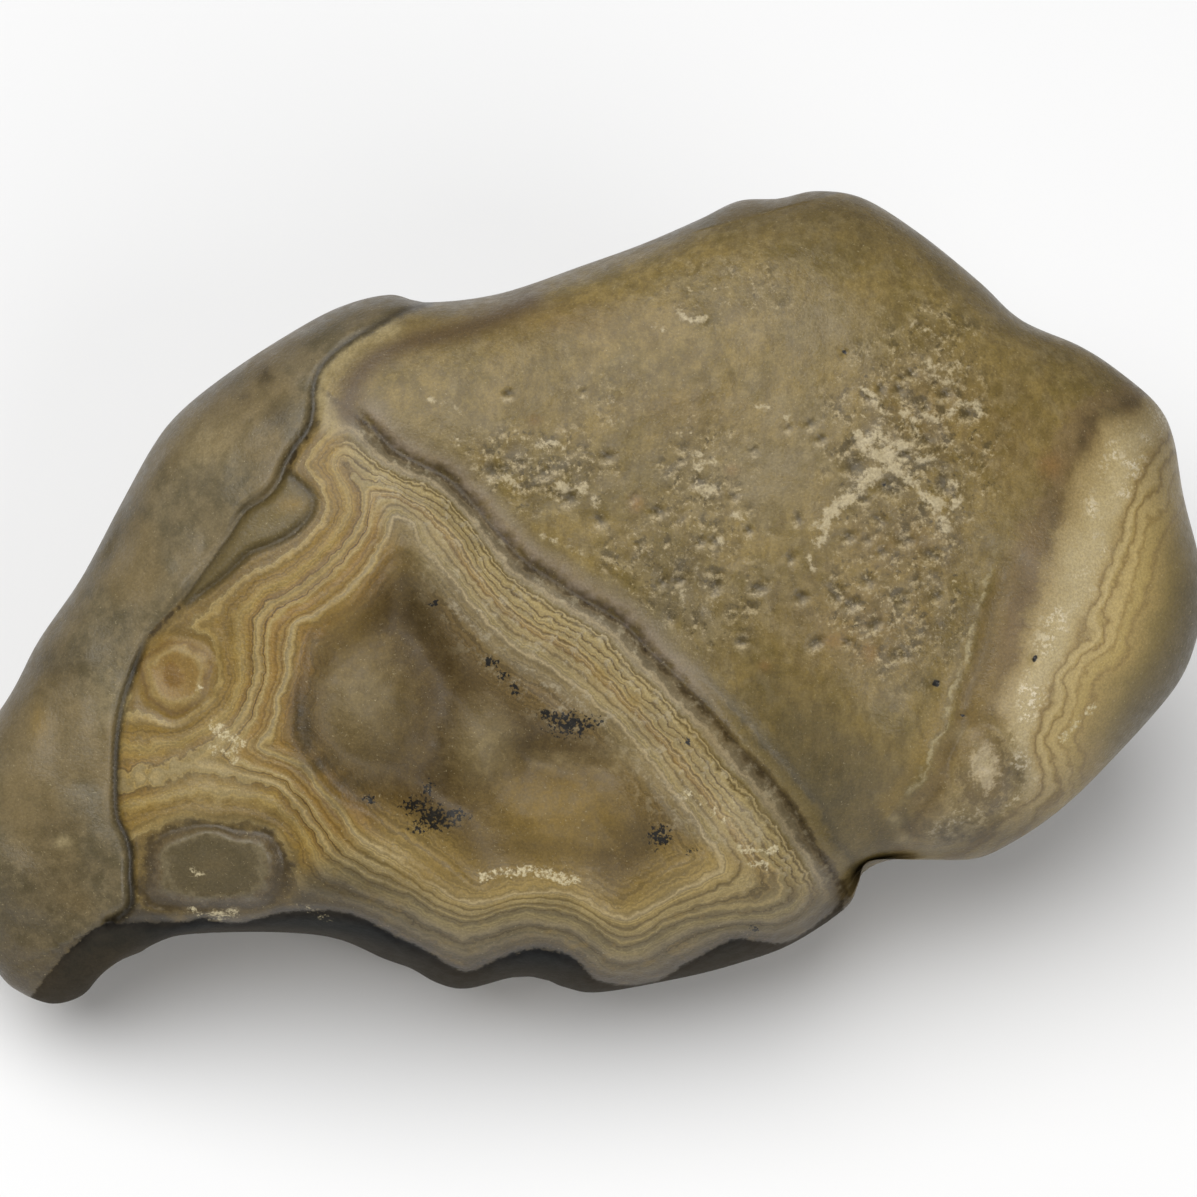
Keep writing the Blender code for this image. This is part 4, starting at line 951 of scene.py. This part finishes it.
    # The rind: greyer, with slow pale and dark clouds; an olive button swells out beside it
    rind = mix(step(noise(0.24, 4.0), 0.38, 0.64), "#5a5038", "#6e6145")
    rind = mix(step(mottle, 0.45, 0.72, 0.0, 0.6), rind, "#756748")
    rind = mix(step(ripple, 0.50, 0.32, 0.0, 0.5), rind, "#4f472f")
    rind = mix(step(slow, 0.48, 0.62, 0.0, 0.45), rind, "#72603a")
    button = calc("ADD", field("button"), calc("MULTIPLY", edge_wander, 0.4))
    color = mix(step(button, -0.15, 0.15), color, mix(step(button, 0.2, 1.8), "#574a29", "#62532a"))
    color = mix(calc("MULTIPLY", step(button, -0.8, 0.0), step(button, 0.5, 0.05)), color, "#443819")
    rind_gap = calc("ADD", field("rind_gap"), calc("MULTIPLY", edge_wander, 0.35))
    color = mix(step(rind_gap, 0.15, -0.15), color, rind)
    # Painted shade in the crack beside the rind, strongest at its top and bottom
    crack = calc("MULTIPLY", step(rind_gap, -0.55, -0.05), step(rind_gap, 0.50, 0.05))
    deep = calc("MAXIMUM", step(height, 8.0, 11.0, 0.0, 0.75), step(height, -2.0, -6.0, 0.15, 0.95))
    color = mix(calc("MULTIPLY", crack, deep), color, "#2a2418")

    # The charcoal layer along the foot
    foot_gap = calc("ADD", field("foot_gap"), calc("MULTIPLY", edge_wander, 0.6))
    foot = step(foot_gap, 0.15, -0.1)
    charcoal = mix(step(foot_gap, -0.2, -0.9), "#050505", mix(step(mottle, 0.35, 0.65), "#070a09", "#101412"))
    color = mix(foot, color, charcoal)

    # Tints over all of it, partly painted shade and highlights, whitish painted glints, black specks of ore, black
    # painted shade in the pinholes, and a fine pale grain that is partly painted glints
    color = mix(calc("MULTIPLY", field("amber"), step(mottle, 0.3, 0.7, 0.6, 1.0)), color, "#7a6228")
    # Painted shade from the dark tints in the hollow, and darker patches of the stone elsewhere
    color = mix(calc("MULTIPLY", field("dark"), step(mottle, 0.3, 0.7, 1.0, 0.6)), color, "#3b3019")
    # Paler stone, partly painted highlights
    color = mix(calc("MULTIPLY", field("pale"), step(mottle, 0.35, 0.65, 0.5, 1.0)), color, "#9a8b65")
    # Painted shade along the outline, where the show face turns away
    color = mix(calc("MULTIPLY", field("rim"), 0.5), color, "#3a2f1a")
    # Painted highlights: whitish glints on the banded face
    glint_highlights = calc("ADD", field("glints"), calc("ADD", wander(mottle, 3.0), wander(grain, 1.6)))
    glint_highlights = calc("MULTIPLY", step(glint_highlights, 0.40, 0.95), step(field("glints"), 0.08, 0.4))
    color = mix(calc("MULTIPLY", glint_highlights, step(grain, 0.38, 0.62, 0.1, 0.9)), color, "#bdb08c")
    color = mix(calc("MULTIPLY", field("rust"), step(mottle, 0.3, 0.6, 0.4, 0.9)), color, "#7d5c2c")
    dots = step(calc("ADD", noise(3.1, 3.0, 0.6), calc("MULTIPLY", field("specks"), 0.30)), 0.65, 0.73)
    dots = calc("MULTIPLY", dots, step(field("specks"), 0.05, 0.25))
    # The open pinholes are painted black as shade in them; the specks of ore are black stone
    color = mix(calc("MAXIMUM", dots, step(field("pinhole"), 0.4, 0.7)), color, "#15120c")
    # A fine pale grain over all but the foot, partly painted glints
    pale_grain_glints = step(noise(4.6, 2.0, 0.7), 0.64, 0.74, 0.0, 0.35)
    color = mix(calc("MULTIPLY", pale_grain_glints, calc("SUBTRACT", 1.0, foot)), color, "#b3a580")

    # The back: a plain grey-brown rind with faint clouds and small pocks
    back = mix(step(broad, 0.35, 0.65), "#564b34", "#716347")
    back = mix(step(ripple, 0.52, 0.66, 0.0, 0.5), back, "#5f5b4a")
    pocks = step(noise(0.9, 4.0, 0.62), 0.58, 0.72)
    back = mix(calc("MULTIPLY", pocks, 0.7), back, "#3f3723")
    behind = step(field("facing"), 0.6, 0.1)
    color = mix(behind, color, back)
    dust = step(noise(5.0, 2.0, 0.6), 0.30, 0.70, 0.86, 1.12)
    color = add(tree, "ShaderNodeVectorMath", {0: color, "Scale": dust}, operation="SCALE")

    rough = step(mottle, 0.3, 0.7, settings.gloss - 0.05, settings.gloss + 0.10)
    rough = calc("ADD", rough, calc("MULTIPLY", step(hollow, 0.0, 2.0), 0.15))
    rough = calc("ADD", rough, calc("MULTIPLY", foot, 0.55))
    texture = calc("ADD", calc("MULTIPLY", mottle, 0.4), calc("MULTIPLY", grain, 0.35))
    bump = add(tree, "ShaderNodeBump", {"Strength": 0.6, "Distance": 0.0002, "Height": texture})
    surface_links = {
        "Base Color": color,
        "Roughness": rough,
        "Normal": bump,
        "IOR": 1.54,
        "Specular IOR Level": 0.35,
    }
    surface = add(tree, "ShaderNodeBsdfPrincipled", surface_links)
    add(tree, "ShaderNodeOutputMaterial", {"Surface": surface})
    return material


def stage_material(color):
    """Matt paper: plain and pale, so that nothing but the stone draws the eye."""
    material = bpy.data.materials.new("paper_matt_white")
    material.use_nodes = True
    surface = material.node_tree.nodes["Principled BSDF"]
    surface.inputs["Base Color"].default_value = (*color, 1.0)
    surface.inputs["Roughness"].default_value = 0.9
    return material


class AgateStoneSettings(bpy.types.PropertyGroup):
    gloss: FloatProperty(
        name="Roughness",
        description="How dull the stone is: 0 is a mirror and 1 is matt",
        default=0.36,
        min=0.1,
        max=0.9,
        subtype="FACTOR",
    )


class AgateStageSettings(bpy.types.PropertyGroup):
    floor_color: FloatVectorProperty(
        name="Floor colour",
        description="Linear colour of the paper that the stone lies on",
        default=(0.80, 0.80, 0.80),
        min=0.0,
        max=1.0,
        size=3,
        subtype="COLOR",
    )
    floor_width: FloatProperty(
        name="Floor width", description="Side of the square floor", default=6.0, min=0.5, unit="LENGTH"
    )
    key_power: FloatProperty(
        name="Key light", description="Power of the soft light above and behind", default=12.0, min=0.0, unit="POWER"
    )
    fill_power: FloatProperty(
        name="Fill light", description="Power of the weak light at the front", default=3.5, min=0.0, unit="POWER"
    )
    sky: FloatProperty(
        name="Sky", description="Strength of the even light from all round", default=0.28, min=0.0, subtype="FACTOR"
    )


layout = {}


def stone_net():
    """A ball whose net comes out evenly fine on the show side and coarse on the back, as a bmesh."""
    form = bmesh.new()
    bmesh.ops.create_icosphere(form, subdivisions=6, radius=1.0)
    for _ in range(3):
        form.verts.index_update()
        directions = np.array([vert.co[:] for vert in form.verts])
        spots = stone_shape(directions, fine=False)[0] * 1000
        ends = np.array([[vert.index for vert in edge.verts] for edge in form.edges])
        length = np.linalg.norm(spots[ends[:, 0]] - spots[ends[:, 1]], axis=1)
        seen = np.minimum(directions[ends[:, 0], 2], directions[ends[:, 1], 2]) > -0.05
        long = [edge for edge, chosen in zip(form.edges, seen & (length > LONGEST_EDGE)) if chosen]
        bmesh.ops.subdivide_edges(form, edges=long, cuts=1)
        bmesh.ops.triangulate(form, faces=[face for face in form.faces if len(face.verts) > 3])
        for vert in form.verts:
            vert.co.normalize()
    return form


def build_stone(settings):
    form = stone_net()
    directions = np.array([vert.co[:] for vert in form.verts])
    directions /= np.linalg.norm(directions, axis=1)[:, None]
    spots, solid, fields = stone_shape(directions)
    middle = (spots.min(axis=0) + spots.max(axis=0)) / 2
    spots[:, :2] -= middle[:2]
    layout["shift"] = middle[:2]
    for vert, spot in zip(form.verts, spots):
        vert.co = spot
    mesh = bpy.data.meshes.new("rough_agate")
    form.to_mesh(mesh)
    form.free()
    mesh.shade_smooth()
    for name, values in fields.items():
        mesh.attributes.new(name, "FLOAT", "POINT").data.foreach_set("value", values.astype(np.float32))
    mesh.attributes.new("layout", "FLOAT_VECTOR", "POINT").data.foreach_set("vector", solid.astype(np.float32).ravel())
    mesh.materials.append(stone_material(settings))
    stone = bpy.data.objects.new("rough_agate", mesh)
    bpy.context.scene.collection.objects.link(stone)
    return stone


class AGATE_OT_stone(bpy.types.Operator):
    """Makes the agate nodule: its worn skin, banded face, lumpy hollow, rind and charcoal foot"""

    bl_idname = "agate.stone"
    bl_label = "Agate nodule"

    def execute(self, context):
        stone = build_stone(context.scene.agate_stone)
        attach(stone, "root")
        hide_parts("agate")
        return {"FINISHED"}


def look_at(item, place, target):
    """Sets an object at a place with its -Z axis toward the target and its Y axis up."""
    item.matrix_world = Matrix.LocRotScale(place, (target - place).to_track_quat("-Z", "Y"), None)


class AGATE_OT_stage(bpy.types.Operator):
    """Makes the floor, the soft lights and the camera that looks down on the show face"""

    bl_idname = "agate.stage"
    bl_label = "Plain stage"

    def execute(self, context):
        if "shift" not in layout:
            raise RuntimeError("Make the agate nodule first: the camera is placed from it")
        settings = context.scene.agate_stage
        lean = math.radians(LEAN)
        out_of_face = Vector((0, -math.cos(lean), math.sin(lean)))
        middle = Vector((-layout["shift"][0], -layout["shift"][1], WIDEST_ABOVE_FLAT / 1000))

        form = bmesh.new()
        bmesh.ops.create_grid(form, x_segments=1, y_segments=1, size=settings.floor_width / 2)
        mesh = bpy.data.meshes.new("floor")
        form.to_mesh(mesh)
        form.free()
        mesh.materials.append(stage_material(settings.floor_color))
        floor = bpy.data.objects.new("floor", mesh)
        context.scene.collection.objects.link(floor)

        distance = 1 / NARROWING / 1000
        lens = bpy.data.cameras.new("camera")
        lens.sensor_width = 36.0
        lens.lens = lens.sensor_width * distance * 1000 / FRAME_WIDTH
        lens.clip_start = 0.01
        camera = bpy.data.objects.new("camera", lens)
        context.scene.collection.objects.link(camera)
        look_at(camera, middle + out_of_face * distance, middle)
        context.scene.camera = camera

        for name, size, power, offset in (
            ("key", 1.3, settings.key_power, (-0.28, 0.05, 0.95)),
            ("fill", 0.6, settings.fill_power, (0.45, -0.75, 0.55)),
        ):
            light = bpy.data.lights.new(name, "AREA")
            light.shape = "DISK"
            light.size = size
            light.energy = power
            lamp = bpy.data.objects.new(name, light)
            context.scene.collection.objects.link(lamp)
            look_at(lamp, middle + Vector(offset), middle)

        world = bpy.data.worlds.new("sky")
        world.use_nodes = True
        backdrop = world.node_tree.nodes["Background"]
        backdrop.inputs["Color"].default_value = (1.0, 1.0, 1.0, 1.0)
        backdrop.inputs["Strength"].default_value = settings.sky
        context.scene.world = world
        context.scene.view_settings.view_transform = "Standard"
        return {"FINISHED"}


class AGATE_PT_panel(bpy.types.Panel):
    bl_label = "Rough agate"
    bl_idname = "AGATE_PT_panel"
    bl_space_type = "VIEW_3D"
    bl_region_type = "UI"
    bl_category = "Agate"

    def draw(self, context):
        column = self.layout.column()
        column.prop(context.scene.agate_stone, "gloss")
        column.operator("agate.stone")
        for name in ("floor_color", "floor_width", "key_power", "fill_power", "sky"):
            column.prop(context.scene.agate_stage, name)
        column.operator("agate.stage")


CLASSES = (AgateStoneSettings, AgateStageSettings, AGATE_OT_stone, AGATE_OT_stage, AGATE_PT_panel)


def register():
    for item in CLASSES:
        bpy.utils.register_class(item)
    bpy.types.Scene.agate_stone = PointerProperty(type=AgateStoneSettings)
    bpy.types.Scene.agate_stage = PointerProperty(type=AgateStageSettings)


def unregister():
    del bpy.types.Scene.agate_stage
    del bpy.types.Scene.agate_stone
    for item in reversed(CLASSES):
        bpy.utils.unregister_class(item)


def main():
    register()
    bpy.ops.agate.stone()
    bpy.ops.agate.stage()


if __name__ == "__main__":
    main()
